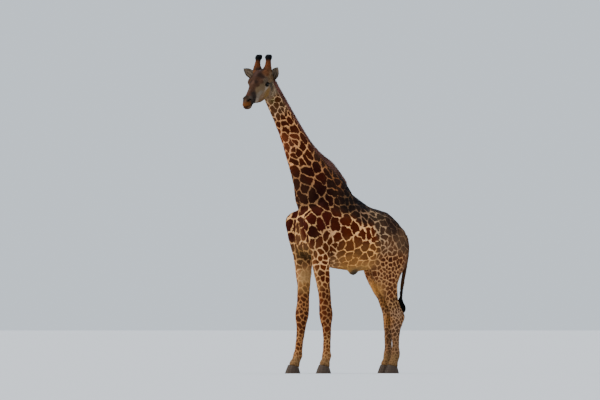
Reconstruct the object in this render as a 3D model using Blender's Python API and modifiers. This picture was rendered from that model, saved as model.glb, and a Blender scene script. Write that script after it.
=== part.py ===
"""A life-size giraffe bull, standing square with his head turned a little to his left.

Metres, +Z up. He faces -Y, his left side is +X, and his hooves stand on Z = 0. The flesh is lofted as
overlapping forms, fused into one skin, and parted with thin cuts into head, neck, trunk and legs. Eyes,
ears, ossicones, mane, tail and hooves are pieces of their own, fitted to that flesh with a hair's gap.
"""

import math

import bmesh
import bpy
from mathutils import Matrix, Vector

# Driving dimensions, in metres.
PIECE_GAP = 0.0004  # kept between a piece and the piece that carries it
CUT_WIDTH = 0.0005  # thickness of the saw that parts the flesh
FUSE_VOXEL = 0.0085
FLESH_TRIANGLES = 5000

EYES_MIDPOINT = Vector((0.190, -2.026, 4.707))
HEAD_YAW = math.radians(23)  # turned to his left
HEAD_PITCH = math.radians(39)  # face below the horizontal
EYE_RADIUS = 0.030
EYE_CENTRE = (-0.030, 0.142, -0.036)  # in the head's own frame

EARS = {  # each root in the head's own frame, then its tip's reach: sideways, forwards and upwards
    "left": ((-0.235, 0.122, -0.105), (0.155, 0.087, 0.186)),
    "right": ((-0.195, 0.122, -0.055), (0.207, 0.086, 0.156)),
}
EAR_HALF_WIDTHS = (0.044, 0.056, 0.066, 0.072, 0.074, 0.070, 0.058, 0.036, 0.006)  # from root to tip
EAR_CUP = 0.034  # depth of its hollow
EAR_THICKNESS = 0.007

HOOF_HEIGHT = 0.115
HOOF_SLOPE = 0.30  # how far the top of a hoof falls per metre towards the heel
HOOF_SPLIT = 0.007  # between the two toes of a foot

# Each row of a trunk or head table is one cross-section: where it stands along the form, its top, the
# height of its widest place, its bottom, its half width, and how far it narrows above and below.
TRUNK = (
    (-1.090, 2.500, 2.330, 2.180, 0.100, 0.0, 0.0),
    (-1.040, 2.660, 2.310, 2.040, 0.180, 0.1, 0.1),
    (-0.920, 2.850, 2.280, 1.900, 0.265, 0.2, 0.2),
    (-0.740, 2.990, 2.260, 1.790, 0.322, 0.30, 0.25),
    (-0.470, 3.080, 2.250, 1.725, 0.350, 0.50, 0.20),
    (-0.220, 3.040, 2.220, 1.690, 0.370, 0.52, 0.10),
    (0.030, 2.880, 2.170, 1.668, 0.388, 0.48, 0.05),
    (0.280, 2.725, 2.140, 1.685, 0.390, 0.40, 0.05),
    (0.490, 2.664, 2.170, 1.775, 0.365, 0.38, 0.05),
    (0.660, 2.618, 2.220, 1.905, 0.318, 0.38, 0.1),
    (0.800, 2.510, 2.240, 2.010, 0.255, 0.35, 0.1),
    (0.905, 2.380, 2.210, 2.060, 0.170, 0.2, 0.1),
    (0.965, 2.250, 2.170, 2.090, 0.080, 0.0, 0.0),
)
HEAD = (
    (-0.345, 0.020, -0.030, -0.100, 0.060, 0.0, 0.0),
    (-0.310, 0.065, -0.030, -0.160, 0.095, 0.1, 0.1),
    (-0.240, 0.108, -0.020, -0.235, 0.122, 0.15, 0.2),
    (-0.150, 0.130, 0.000, -0.285, 0.136, 0.15, 0.35),
    (-0.070, 0.140, 0.005, -0.312, 0.142, 0.15, 0.42),
    (0.010, 0.136, 0.000, -0.322, 0.138, 0.2, 0.42),
    (0.080, 0.122, -0.010, -0.309, 0.122, 0.2, 0.40),
    (0.150, 0.104, -0.020, -0.282, 0.102, 0.2, 0.36),
    (0.220, 0.088, -0.028, -0.238, 0.087, 0.2, 0.30),
    (0.300, 0.072, -0.034, -0.182, 0.077, 0.15, 0.3),
    (0.370, 0.057, -0.042, -0.155, 0.073, 0.1, 0.2),
    (0.430, 0.043, -0.050, -0.152, 0.074, 0.1, 0.2),
    (0.485, 0.020, -0.060, -0.148, 0.069, 0.05, 0.2),
    (0.528, -0.012, -0.068, -0.125, 0.053, 0.0, 0.1),
    (0.552, -0.052, -0.078, -0.104, 0.029, 0.0, 0.0),
)
# Each row of a limb or neck table is one cross-section of a tube: its centre, then its half depth from
# front to back and its half width from side to side, both square to the tube.
NECK = (
    (0.000, -0.300, 2.450, 0.430, 0.240),
    (0.000, -0.455, 2.690, 0.470, 0.250),
    (0.000, -0.686, 2.943, 0.477, 0.226),
    (0.000, -0.869, 3.244, 0.348, 0.182),
    (0.005, -1.050, 3.529, 0.267, 0.154),
    (0.015, -1.230, 3.851, 0.205, 0.131),
    (0.025, -1.418, 4.152, 0.167, 0.115),
    (0.035, -1.572, 4.388, 0.144, 0.107),
    (0.055, -1.700, 4.560, 0.136, 0.103),
    (0.085, -1.806, 4.712, 0.132, 0.100),
    (0.120, -1.880, 4.840, 0.110, 0.085),
)
FORELEG = (  # from the top of the shoulder blade
    (0.105, -0.360, 2.960, 0.080, 0.045),
    (0.160, -0.480, 2.810, 0.150, 0.075),
    (0.212, -0.680, 2.630, 0.190, 0.092),
    (0.245, -0.850, 2.470, 0.195, 0.100),
    (0.260, -0.920, 2.320, 0.195, 0.104),
    (0.262, -0.870, 2.130, 0.195, 0.108),
    (0.256, -0.822, 1.950, 0.190, 0.108),
    (0.250, -0.812, 1.780, 0.170, 0.104),
    (0.246, -0.800, 1.650, 0.148, 0.098),
    (0.246, -0.766, 1.440, 0.118, 0.086),
    (0.248, -0.740, 1.210, 0.107, 0.079),
    (0.250, -0.727, 1.060, 0.113, 0.088),
    (0.250, -0.722, 0.970, 0.119, 0.095),
    (0.250, -0.716, 0.870, 0.105, 0.084),
    (0.250, -0.706, 0.750, 0.080, 0.064),
    (0.250, -0.702, 0.540, 0.066, 0.054),
    (0.250, -0.702, 0.380, 0.067, 0.056),
    (0.250, -0.704, 0.290, 0.082, 0.068),
    (0.250, -0.722, 0.215, 0.072, 0.066),
    (0.250, -0.744, 0.150, 0.088, 0.080),
    (0.250, -0.756, 0.060, 0.092, 0.084),
)
HINDLEG = (  # from the loin
    (0.120, 0.560, 2.480, 0.110, 0.070),
    (0.170, 0.600, 2.330, 0.230, 0.110),
    (0.198, 0.610, 2.100, 0.330, 0.145),
    (0.195, 0.580, 1.880, 0.335, 0.148),
    (0.175, 0.540, 1.680, 0.312, 0.136),
    (0.168, 0.560, 1.450, 0.205, 0.112),
    (0.172, 0.618, 1.270, 0.132, 0.090),
    (0.176, 0.645, 1.160, 0.104, 0.078),
    (0.180, 0.680, 1.060, 0.094, 0.072),
    (0.180, 0.714, 0.970, 0.102, 0.075),
    (0.180, 0.728, 0.890, 0.106, 0.078),
    (0.180, 0.722, 0.770, 0.092, 0.069),
    (0.180, 0.718, 0.640, 0.070, 0.058),
    (0.180, 0.714, 0.440, 0.063, 0.054),
    (0.180, 0.710, 0.300, 0.080, 0.067),
    (0.180, 0.690, 0.215, 0.069, 0.064),
    (0.180, 0.666, 0.150, 0.084, 0.077),
    (0.180, 0.654, 0.060, 0.088, 0.080),
)
HEEL_TENDON = (  # from the calf to the point of the hock and down its back
    (0.176, 0.690, 1.420, 0.040, 0.045),
    (0.178, 0.730, 1.220, 0.028, 0.030),
    (0.180, 0.790, 1.060, 0.028, 0.028),
    (0.180, 0.850, 0.955, 0.036, 0.036),
    (0.180, 0.852, 0.890, 0.036, 0.038),
    (0.180, 0.780, 0.740, 0.034, 0.036),
)
TAIL = (
    (0.000, 0.800, 2.400, 0.050, 0.055),
    (0.000, 0.920, 2.345, 0.048, 0.050),
    (0.000, 1.015, 2.230, 0.042, 0.044),
    (0.000, 1.060, 2.080, 0.034, 0.036),
    (0.000, 1.058, 1.880, 0.027, 0.028),
    (0.000, 1.015, 1.650, 0.020, 0.021),
    (0.000, 0.968, 1.400, 0.016, 0.017),
    (0.000, 0.950, 1.235, 0.015, 0.016),
)
TAIL_TUFT = (
    (0.000, 0.953, 1.2600, 0.019, 0.020),
    (0.000, 0.945, 1.190, 0.030, 0.028),
    (0.000, 0.950, 1.130, 0.042, 0.036),
    (0.000, 0.972, 1.075, 0.052, 0.042),
    (0.000, 0.980, 1.025, 0.044, 0.036),
    (0.000, 0.966, 0.985, 0.014, 0.014),
)
# The mane: how far along the neck table, how high it stands off the neck's back, and its half thickness.
MANE = (
    (0.9, 0.010, 0.012),
    (1.5, 0.048, 0.019),
    (2.3, 0.066, 0.021),
    (3.0, 0.086, 0.021),
    (3.6, 0.062, 0.021),
    (4.3, 0.046, 0.020),
    (5.0, 0.046, 0.020),
    (7.0, 0.050, 0.019),
    (8.6, 0.050, 0.018),
    (9.5, 0.012, 0.012),
)
MANE_ROOT = 0.035  # how deep in the flesh it starts
# Rings of an ossicone: how far in front of the eyes, how far to its side, how high, and its radius.
OSSICONE = (
    (-0.112, 0.095, 0.100, 0.040),
    (-0.125, 0.093, 0.170, 0.076),
    (-0.138, 0.094, 0.235, 0.075),
    (-0.145, 0.100, 0.272, 0.060),
    (-0.150, 0.102, 0.305, 0.050),
    (-0.161, 0.099, 0.355, 0.043),
    (-0.168, 0.097, 0.385, 0.046),
    (-0.176, 0.095, 0.415, 0.055),
    (-0.184, 0.093, 0.448, 0.050),
    (-0.190, 0.092, 0.468, 0.022),
)
# Half of the outline of one toe at the ground and at the top of its hoof, inner edge first: across from
# the middle of the foot, and forwards of the middle of the leg.
TOE_SOLE = (
    (0.000, 0.150), (0.030, 0.146), (0.068, 0.105), (0.094, 0.040), (0.098, -0.030), (0.078, -0.085),
    (0.030, -0.102), (0.000, -0.100),
)
TOE_TOP = (
    (0.000, 0.086), (0.028, 0.083), (0.056, 0.066), (0.078, 0.030), (0.080, -0.026), (0.062, -0.062),
    (0.028, -0.084), (0.000, -0.086),
)
# Swellings on the flesh: centre and half sizes. Those of the head are in its own frame, x forwards
# along the face from between the eyes, y to his left and z towards the crown.
HEAD_SWELLINGS = (
    ((-0.070, 0.000, 0.080), (0.150, 0.095, 0.092)),  # bony boss on the forehead
    ((0.240, 0.000, 0.036), (0.200, 0.044, 0.046)),  # bridge of the nose
    ((0.455, 0.000, -0.122), (0.065, 0.056, 0.036)),  # chin
)
PAIRED_HEAD_SWELLINGS = (
    ((-0.025, 0.094, 0.045), (0.125, 0.080, 0.054)),  # brow over the eye
    ((0.050, 0.080, -0.050), (0.140, 0.054, 0.060)),  # cheekbone
    ((-0.070, 0.060, -0.160), (0.140, 0.066, 0.132)),  # jaw muscle
    ((0.410, 0.042, -0.004), (0.066, 0.036, 0.050)),  # nostril
    ((-0.200, 0.086, 0.040), (0.085, 0.078, 0.092)),  # foot of the ossicone
    ((-0.235, 0.080, -0.080), (0.090, 0.072, 0.100)),  # muscle about the ear
)
PAIRED_BODY_SWELLINGS = (
    ((0.250, -1.000, 2.430), (0.115, 0.133, 0.228)),  # point of the shoulder
    ((0.170, 0.440, 2.450), (0.120, 0.190, 0.130)),  # point of the hip
    ((0.125, 0.830, 2.140), (0.115, 0.140, 0.250)),  # buttock
    ((0.100, -0.960, 2.120), (0.130, 0.110, 0.230)),  # breast muscle
)
BODY_SWELLINGS = (
    ((0.000, -0.005, 1.667), (0.045, 0.096, 0.078)),  # sheath
    ((0.000, -0.320, 2.980), (0.090, 0.240, 0.130)),  # hump of the withers
)

# How far each foot stands from where its table puts it, forwards being -Y, and between which heights
# the leg bends away to reach it.
STRAY = {
    ("fore", "left"): (0.000, 1.75, 0.0),
    ("fore", "right"): (-0.270, 1.75, 0.0),
    ("hind", "left"): (0.000, 2.40, 1.7),
    ("hind", "right"): (0.110, 2.40, 1.7),
}
SIDES = {"left": 1, "right": -1}


def head_frame():
    """The matrix from the head's own frame to the animal's."""
    level = Vector((math.sin(HEAD_YAW), -math.cos(HEAD_YAW), 0))
    left = Vector((math.cos(HEAD_YAW), math.sin(HEAD_YAW), 0))
    forwards = level * math.cos(HEAD_PITCH) - Vector((0, 0, math.sin(HEAD_PITCH)))
    crown = forwards.cross(left)
    turned = Matrix((forwards, left, crown)).transposed().to_4x4()
    return Matrix.Translation(EYES_MIDPOINT) @ turned


def level_head_frame():
    """As head_frame, but turned only, so its x runs level and its z straight up."""
    return Matrix.Translation(EYES_MIDPOINT) @ Matrix.Rotation(HEAD_YAW - math.pi / 2, 4, "Z")


def clear_scene():
    for obj in list(bpy.data.objects):
        bpy.data.objects.remove(obj)


def material(name, colour, roughness):
    made = bpy.data.materials.new(name)
    made.use_nodes = True
    shader = made.node_tree.nodes["Principled BSDF"]
    shader.inputs["Base Color"].default_value = (*colour, 1)
    shader.inputs["Roughness"].default_value = roughness
    made.diffuse_color = (*colour, 1)
    return made


def new_object(name, shape, collection):
    """An object from a bmesh, which is freed."""
    bmesh.ops.recalc_face_normals(shape, faces=shape.faces)
    mesh = bpy.data.meshes.new(name)
    shape.to_mesh(mesh)
    shape.free()
    mesh.shade_smooth()
    obj = bpy.data.objects.new(name, mesh)
    collection.objects.link(obj)
    return obj


def catmull_rom(t, before, start, end, after):
    square = 2 * before - 5 * start + 4 * end - after
    cube = 3 * (start - end) + after - before
    return start + 0.5 * t * (end - before + t * (square + t * cube))


def between(rows, steps):
    """The rows, with steps - 1 more between each two, on a smooth curve through them."""
    found = []
    last = len(rows) - 1
    for i in range(last):
        four = [rows[min(max(j, 0), last)] for j in range(i - 1, i + 3)]
        for k in range(steps):
            found.append(tuple(catmull_rom(k / steps, *values) for values in zip(*four)))
    return found + [tuple(rows[last])]


def section(middle, side, up, half_width, above, below, narrow_above, narrow_below, sides):
    """One ring of points round a form. It narrows towards its top and bottom by the shares given."""
    ring = []
    for i in range(sides):
        angle = math.tau * i / sides
        across, rise = math.cos(angle), math.sin(angle)
        narrow = narrow_above if rise > 0 else narrow_below
        height = above if rise > 0 else below
        ring.append(middle + side * (half_width * across * (1 - narrow * rise * rise)) + up * (height * rise))
    return ring


def loft(shape, rings):
    """A closed skin over the rings, in the bmesh given."""
    made = [[shape.verts.new(point) for point in ring] for ring in rings]
    sides = len(rings[0])
    for ring, following in zip(made, made[1:]):
        for i in range(sides):
            j = (i + 1) % sides
            shape.faces.new((ring[i], ring[j], following[j], following[i]))
    shape.faces.new(made[0][::-1])
    shape.faces.new(made[-1])


def loft_table(shape, rows, along, side, up, place, steps, sides):
    """Lofts a trunk or head table. along, side and up are the axes that its numbers run on."""
    rings = []
    for at, top, widest, bottom, half_width, narrow_above, narrow_below in between(rows, steps):
        ring = section(
            along * at + up * widest, side, up, half_width, top - widest, widest - bottom,
            narrow_above, narrow_below, sides,
        )
        rings.append([place @ point for point in ring])
    loft(shape, rings)


def loft_tube(shape, rows, steps, sides, mirrored=1):
    """Lofts a limb or neck table, its rings square to the way that it runs."""
    rows = between(rows, steps)
    middles = [Vector((x * mirrored, y, z)) for x, y, z, _, _ in rows]
    rings = []
    for i, (_, _, _, half_depth, half_width) in enumerate(rows):
        way = (middles[min(i + 1, len(rows) - 1)] - middles[max(i - 1, 0)]).normalized()
        front = way.cross(Vector((1, 0, 0))).normalized()
        across = front.cross(way)
        rings.append(section(middles[i], across, front, half_width, half_depth, half_depth, 0, 0, sides))
    loft(shape, rings)


def swell(shape, middle, half_sizes, place=None, mirrored=1):
    """An ellipsoid. On the body it is mirrored across X, and in the head's own frame across its y."""
    x, y, z = middle
    where = Matrix.Translation((x, y * mirrored, z)) if place else Matrix.Translation((x * mirrored, y, z))
    matrix = (place or Matrix.Identity(4)) @ where @ Matrix.Diagonal((*half_sizes, 1))
    bmesh.ops.create_uvsphere(shape, u_segments=24, v_segments=16, radius=1, matrix=matrix)


def astray(leg, height):
    """How far back of its table this leg is at this height."""
    stray, start, full = STRAY[leg]
    return stray * min(max((start - height) / (start - full), 0), 1)


def strayed(rows, leg):
    return tuple((x, y + astray(leg, z), z, depth, width) for x, y, z, depth, width in rows)


def apply_modifiers(obj):
    """Swaps the object's mesh for what its modifiers make of it."""
    bpy.context.view_layer.update()
    evaluated = obj.evaluated_get(bpy.context.evaluated_depsgraph_get())
    made = bpy.data.meshes.new_from_object(evaluated)
    obj.modifiers.clear()
    obj.data = made
    obj.data.shade_smooth()
    return obj


def smooth(obj, times, group=""):
    modifier = obj.modifiers.new("Smooth", "SMOOTH")
    modifier.factor = 0.5
    modifier.iterations = times
    modifier.vertex_group = group


def weigh(obj, name, weight_at):
    """A vertex group whose weights come from a function of place."""
    group = obj.vertex_groups.new(name=name)
    for vertex in obj.data.vertices:
        group.add([vertex.index], weight_at(vertex.co), "REPLACE")
    return name


def ramp(value, low, high):
    return min(max((value - low) / (high - low), 0), 1)


def fuse(obj):
    """One smooth skin round the overlapping forms, thinned out where it is flat."""
    remesh = obj.modifiers.new("Fuse", "REMESH")
    remesh.mode = "VOXEL"
    remesh.voxel_size = FUSE_VOXEL
    smooth(obj, 6)
    apply_modifiers(obj)
    # The broad masses of the body run into each other more softly than the lower legs and the head do.
    smooth(obj, 90, weigh(obj, "soft", lambda at: ramp(at.z, 1.2, 1.8) * ramp(at.z, 4.3, 3.6)))
    smooth(obj, 14, weigh(obj, "head", lambda at: ramp(at.z, 4.2, 4.5)))
    apply_modifiers(obj)
    keep = weigh(obj, "keep", lambda at: 0.97 + 0.03 * ramp((at - EYES_MIDPOINT).length, 0.4, 1.0))
    thin = obj.modifiers.new("Thin out", "DECIMATE")
    thin.ratio = FLESH_TRIANGLES / (2 * len(obj.data.polygons))
    thin.vertex_group = keep
    thin.vertex_group_factor = 1.0
    apply_modifiers(obj)
    obj.vertex_groups.clear()
    return obj


def flesh(collection):
    """Trunk, neck, head and legs as one skin."""
    shape = bmesh.new()
    world_x, world_y, world_z = (Vector(axis) for axis in ((1, 0, 0), (0, 1, 0), (0, 0, 1)))
    loft_table(shape, TRUNK, world_y, world_x, world_z, Matrix.Identity(4), 4, 40)
    loft_tube(shape, NECK, 4, 32)
    to_head = head_frame()
    loft_table(shape, HEAD, world_x, world_y, world_z, to_head, 4, 36)
    for middle, half_sizes in BODY_SWELLINGS:
        swell(shape, middle, half_sizes)
    for middle, half_sizes in HEAD_SWELLINGS:
        swell(shape, middle, half_sizes, to_head)
    for side, mirrored in SIDES.items():
        for name, rows in (("fore", FORELEG), ("hind", HINDLEG), ("hind", HEEL_TENDON)):
            loft_tube(shape, strayed(rows, (name, side)), 4, 24, mirrored)
        for middle, half_sizes in PAIRED_BODY_SWELLINGS:
            swell(shape, middle, half_sizes, mirrored=mirrored)
        for middle, half_sizes in PAIRED_HEAD_SWELLINGS:
            swell(shape, middle, half_sizes, to_head, mirrored)
    return fuse(new_object("flesh", shape, collection))


def grown(obj, distance, helpers):
    """A copy of the object, pushed out all round, to cut others with."""
    copy = bpy.data.objects.new(f"{obj.name}_grown", obj.data.copy())
    helpers.objects.link(copy)
    push = copy.modifiers.new("Grow", "DISPLACE")
    push.mid_level = 0
    push.strength = distance
    return apply_modifiers(copy)


def combine(obj, other, operation):
    boolean = obj.modifiers.new(operation.title(), "BOOLEAN")
    boolean.operation = operation
    boolean.solver = "EXACT"
    boolean.object = other
    return apply_modifiers(obj)


def pieces_of(shape):
    """The separate shells of a bmesh, the largest box first."""
    unseen = set(shape.verts)
    found = []
    while unseen:
        edge = [unseen.pop()]
        shell = set(edge)
        while edge:
            for link in edge.pop().link_edges:
                for vertex in link.verts:
                    if vertex in unseen:
                        unseen.remove(vertex)
                        shell.add(vertex)
                        edge.append(vertex)
        found.append(shell)
    return sorted(found, key=lambda shell: -box_size(shell))


def box_size(vertices):
    return math.prod(
        max(vertex.co[axis] for vertex in vertices) - min(vertex.co[axis] for vertex in vertices) + 1e-6
        for axis in range(3)
    )


def keep_shell(obj, shell_index=0, merge=1e-5):
    """Drops all but one of the object's separate shells."""
    shape = bmesh.new()
    shape.from_mesh(obj.data)
    bmesh.ops.remove_doubles(shape, verts=shape.verts, dist=merge)
    shells = pieces_of(shape)
    for i, shell in enumerate(shells):
        if i != shell_index:
            bmesh.ops.delete(shape, geom=list(shell), context="VERTS")
    bmesh.ops.triangulate(shape, faces=shape.faces)
    shape.to_mesh(obj.data)
    shape.free()
    obj.data.shade_smooth()
    return obj


def slab(name, middle, normal, half_length, half_width, helpers, thickness=CUT_WIDTH):
    """A thin box, square to normal, that saws through what it meets."""
    shape = bmesh.new()
    normal = Vector(normal).normalized()
    turned = normal.to_track_quat("Z", "Y").to_matrix().to_4x4()
    size = Matrix.Diagonal((2 * half_width, 2 * half_length, thickness, 1))
    bmesh.ops.create_cube(shape, size=1, matrix=Matrix.Translation(middle) @ turned @ size)
    return new_object(name, shape, helpers)


def block(name, low, high, helpers):
    shape = bmesh.new()
    middle = (Vector(low) + Vector(high)) / 2
    size = Matrix.Diagonal((*(Vector(high) - Vector(low)), 1))
    bmesh.ops.create_cube(shape, size=1, matrix=Matrix.Translation(middle) @ size)
    return new_object(name, shape, helpers)


def hoof_top(across_y, foot_y):
    """Height of the slanting top of a hoof at this place along Y."""
    return HOOF_HEIGHT - HOOF_SLOPE * (across_y - foot_y)


def foot_middle(name, side):
    """Where the middle of this leg's foot is on the floor."""
    x, y, z, _, _ = (FORELEG if name == "fore" else HINDLEG)[-1]
    return x * SIDES[side], y + astray((name, side), z)


def cut_feet(body, helpers):
    """Takes the flesh off below the tops of the hooves."""
    for name in ("fore", "hind"):
        for side in SIDES:
            x, y = foot_middle(name, side)
            shape = bmesh.new()
            where = Matrix.Translation((x, y, 0)) @ Matrix.Diagonal((0.3, 0.5, 0.4, 1))
            bmesh.ops.create_cube(shape, size=1, matrix=where)
            for vertex in shape.verts:
                if vertex.co.z > 0:
                    vertex.co.z = hoof_top(vertex.co.y, y)
            combine(body, new_object(f"foot_cutter_{name}_{side}", shape, helpers), "DIFFERENCE")


def hooves(collection):
    """Eight toes, each the horn of one hoof, flat on the ground."""
    for name in ("fore", "hind"):
        size = 1.0 if name == "fore" else 0.93
        for side, mirrored in SIDES.items():
            foot_x, foot_y = foot_middle(name, side)
            for toe, way in (("outer", mirrored), ("inner", -mirrored)):
                shape = bmesh.new()
                rings = []
                for share in (0.0, 0.06, 0.5, 1.0):  # from the sole to the top
                    ring = []
                    for (sole_x, sole_y), (top_x, top_y) in zip(TOE_SOLE, TOE_TOP):
                        bulge = 1 - 0.03 * (share == 0)
                        across = (sole_x + (top_x - sole_x) * share) * bulge * size
                        ahead = (sole_y + (top_y - sole_y) * share) * size
                        y = foot_y - ahead
                        z = (hoof_top(y, foot_y) - PIECE_GAP) * share
                        ring.append(Vector((foot_x + way * (across + HOOF_SPLIT / 2), y, z)))
                    rings.append(ring)
                loft(shape, rings)
                new_object(f"hoof_{name}_{side}_{toe}", shape, collection)


def eyes(body, collection, helpers):
    to_head = head_frame()
    x, y, z = EYE_CENTRE
    for side, mirrored in SIDES.items():
        middle = to_head @ Vector((x, y * mirrored, z))
        for name, home in (("socket", helpers), ("eye", collection)):
            radius = EYE_RADIUS + PIECE_GAP * (name == "socket")
            shape = bmesh.new()
            bmesh.ops.create_uvsphere(
                shape, u_segments=14, v_segments=8, radius=radius, matrix=Matrix.Translation(middle)
            )
            made = new_object(f"{name}_{side}", shape, home)
            if name == "socket":
                combine(body, made, "DIFFERENCE")


def ossicones(collection):
    to_level = level_head_frame()
    for side, mirrored in SIDES.items():
        shape = bmesh.new()
        rings = []
        for ahead, aside, above, radius in OSSICONE:
            middle = to_level @ Vector((ahead, aside * mirrored, above))
            turns = (math.tau * i / 14 for i in range(14))
            rings.append([middle + Vector((math.cos(turn), math.sin(turn), 0)) * radius for turn in turns])
        loft(shape, rings)
        new_object(f"ossicone_{side}", shape, collection)


def ears(collection):
    """A cupped leaf on each side, its hollow to the front."""
    to_head, turned = head_frame(), level_head_frame().to_3x3()
    steps, columns = len(EAR_HALF_WIDTHS) - 1, 6
    for side, mirrored in SIDES.items():
        (x, y, z), (sideways, forwards, upwards) = EARS[side]
        root = to_head @ Vector((x, y * mirrored, z))
        reach = turned @ Vector((forwards, sideways * mirrored, upwards))
        along = reach.normalized()
        facing = turned @ Vector((1.0, 0.25 * mirrored, 0.1))
        facing = (facing - along * facing.dot(along)).normalized()
        across = along.cross(facing)
        shape = bmesh.new()
        back, front = [], []
        for i, width in enumerate(EAR_HALF_WIDTHS):
            cup = EAR_CUP * width / max(EAR_HALF_WIDTHS)
            for j in range(columns + 1):
                turn = 2 * j / columns - 1
                at = root + reach * (i / steps) + across * (width * turn)
                at += facing * (cup * (turn * turn - 0.6))
                out = (facing - across * (2 * cup * turn / width)).normalized()
                back.append(shape.verts.new(at - out * EAR_THICKNESS / 2))
                front.append(shape.verts.new(at + out * EAR_THICKNESS / 2))
        row = columns + 1
        for i in range(steps):
            for j in range(columns):
                a, b, c, d = i * row + j, i * row + j + 1, (i + 1) * row + j + 1, (i + 1) * row + j
                shape.faces.new([front[k] for k in (a, b, c, d)])
                shape.faces.new([back[k] for k in (d, c, b, a)])
        edge = [(j, j + 1) for j in range(columns)]
        edge += [(i * row + columns, (i + 1) * row + columns) for i in range(steps)]
        edge += [(steps * row + j + 1, steps * row + j) for j in reversed(range(columns))]
        edge += [((i + 1) * row, i * row) for i in reversed(range(steps))]
        for a, b in edge:
            shape.faces.new((back[a], back[b], front[b], front[a]))
        new_object(f"ear_{side}", shape, collection)


def mane(collection):
    """A thin crest down the back of the neck, its foot in the flesh."""
    steps = 2
    rows = between(NECK, steps)
    middles = [Vector(row[:3]) for row in rows]
    shape = bmesh.new()
    rings = []
    for i, (_, _, _, half_depth, _) in enumerate(rows):
        at = i / steps
        if not MANE[0][0] <= at <= MANE[-1][0]:
            continue
        lower = max(row for row in MANE if row[0] <= at)
        upper = min((row for row in MANE if row[0] > at), default=lower)
        share = (at - lower[0]) / max(upper[0] - lower[0], 1e-6)
        height, half = (lower[k] + (upper[k] - lower[k]) * share for k in (1, 2))
        way = (middles[min(i + 1, len(rows) - 1)] - middles[max(i - 1, 0)]).normalized()
        back = way.cross(Vector((1, 0, 0))).normalized()
        side = back.cross(way)
        right_half = ((1, -MANE_ROOT), (0.8, 0.65 * height), (0.25, height))
        outline = right_half + tuple((-x, z) for x, z in reversed(right_half))
        rings.append([middles[i] + side * (half * x) + back * (half_depth + z) for x, z in outline])
    loft(shape, rings)
    return new_object("mane", shape, collection)


def tail(collection, helpers):
    for name, rows in (("tail", TAIL), ("tail_tuft", TAIL_TUFT)):
        shape = bmesh.new()
        loft_tube(shape, rows, 2, 10)
        new_object(name, shape, collection)
    combine(bpy.data.objects["tail_tuft"], grown(bpy.data.objects["tail"], PIECE_GAP, helpers), "DIFFERENCE")


def part_flesh(body, helpers, collection):
    """Saws the flesh into the parts that a person would name."""
    to_head = head_frame()
    nape = to_head @ Vector((-0.250, 0, -0.245))
    saws = [
        slab("saw_nape", nape, to_head.to_3x3() @ Vector((1, 0, 1)), 0.6, 0.6, helpers),
        slab("saw_withers", Vector((0, -0.700, 2.860)), Vector((0, -0.56, 0.83)), 0.9, 0.6, helpers),
        slab("saw_thighs", Vector((0, 0.640, 1.793)), Vector((0, -0.33, 0.94)), 0.62, 0.6, helpers),
    ]
    for side, mirrored in SIDES.items():
        elbow = Vector((0.27 * mirrored, -0.80, 1.735))
        saws.append(slab(f"saw_elbow_{side}", elbow, Vector((0, 0, 1)), 0.26, 0.19, helpers))
    for saw in saws:
        combine(body, saw, "DIFFERENCE")
    named = {
        "head": EYES_MIDPOINT,
        "neck": Vector((0.0, -1.2, 3.8)),
        "trunk": Vector((0.0, 0.1, 2.3)),
        "foreleg_left": Vector((0.25, -0.75, 1.0)),
        "foreleg_right": Vector((-0.25, -0.85, 1.0)),
        "hindleg_left": Vector((0.18, 0.70, 1.0)),
        "hindleg_right": Vector((-0.18, 0.80, 1.0)),
    }
    shape = bmesh.new()
    shape.from_mesh(body.data)
    bmesh.ops.remove_doubles(shape, verts=shape.verts, dist=1e-5)
    shells = pieces_of(shape)[:len(named)]
    middles = [sum((vertex.co for vertex in shell), Vector()) / len(shell) for shell in shells]
    keepers = {}
    for name, near in named.items():
        keepers[name] = min(range(len(shells)), key=lambda i: (middles[i] - near).length)
    shape.to_mesh(body.data)
    shape.free()
    for name, index in keepers.items():
        part = bpy.data.objects.new(name, body.data.copy())
        collection.objects.link(part)
        keep_shell(part, index)


def centre_on_floor(objects):
    """Moves everything so that the origin is on the floor under the middle of the whole animal."""
    corners = [vertex.co for obj in objects for vertex in obj.data.vertices]
    low, high = ([pick(corner[axis] for corner in corners) for axis in range(3)] for pick in (min, max))
    shift = Vector((-(low[0] + high[0]) / 2, -(low[1] + high[1]) / 2, 0))
    for obj in objects:
        obj.data.transform(Matrix.Translation(shift))


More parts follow.
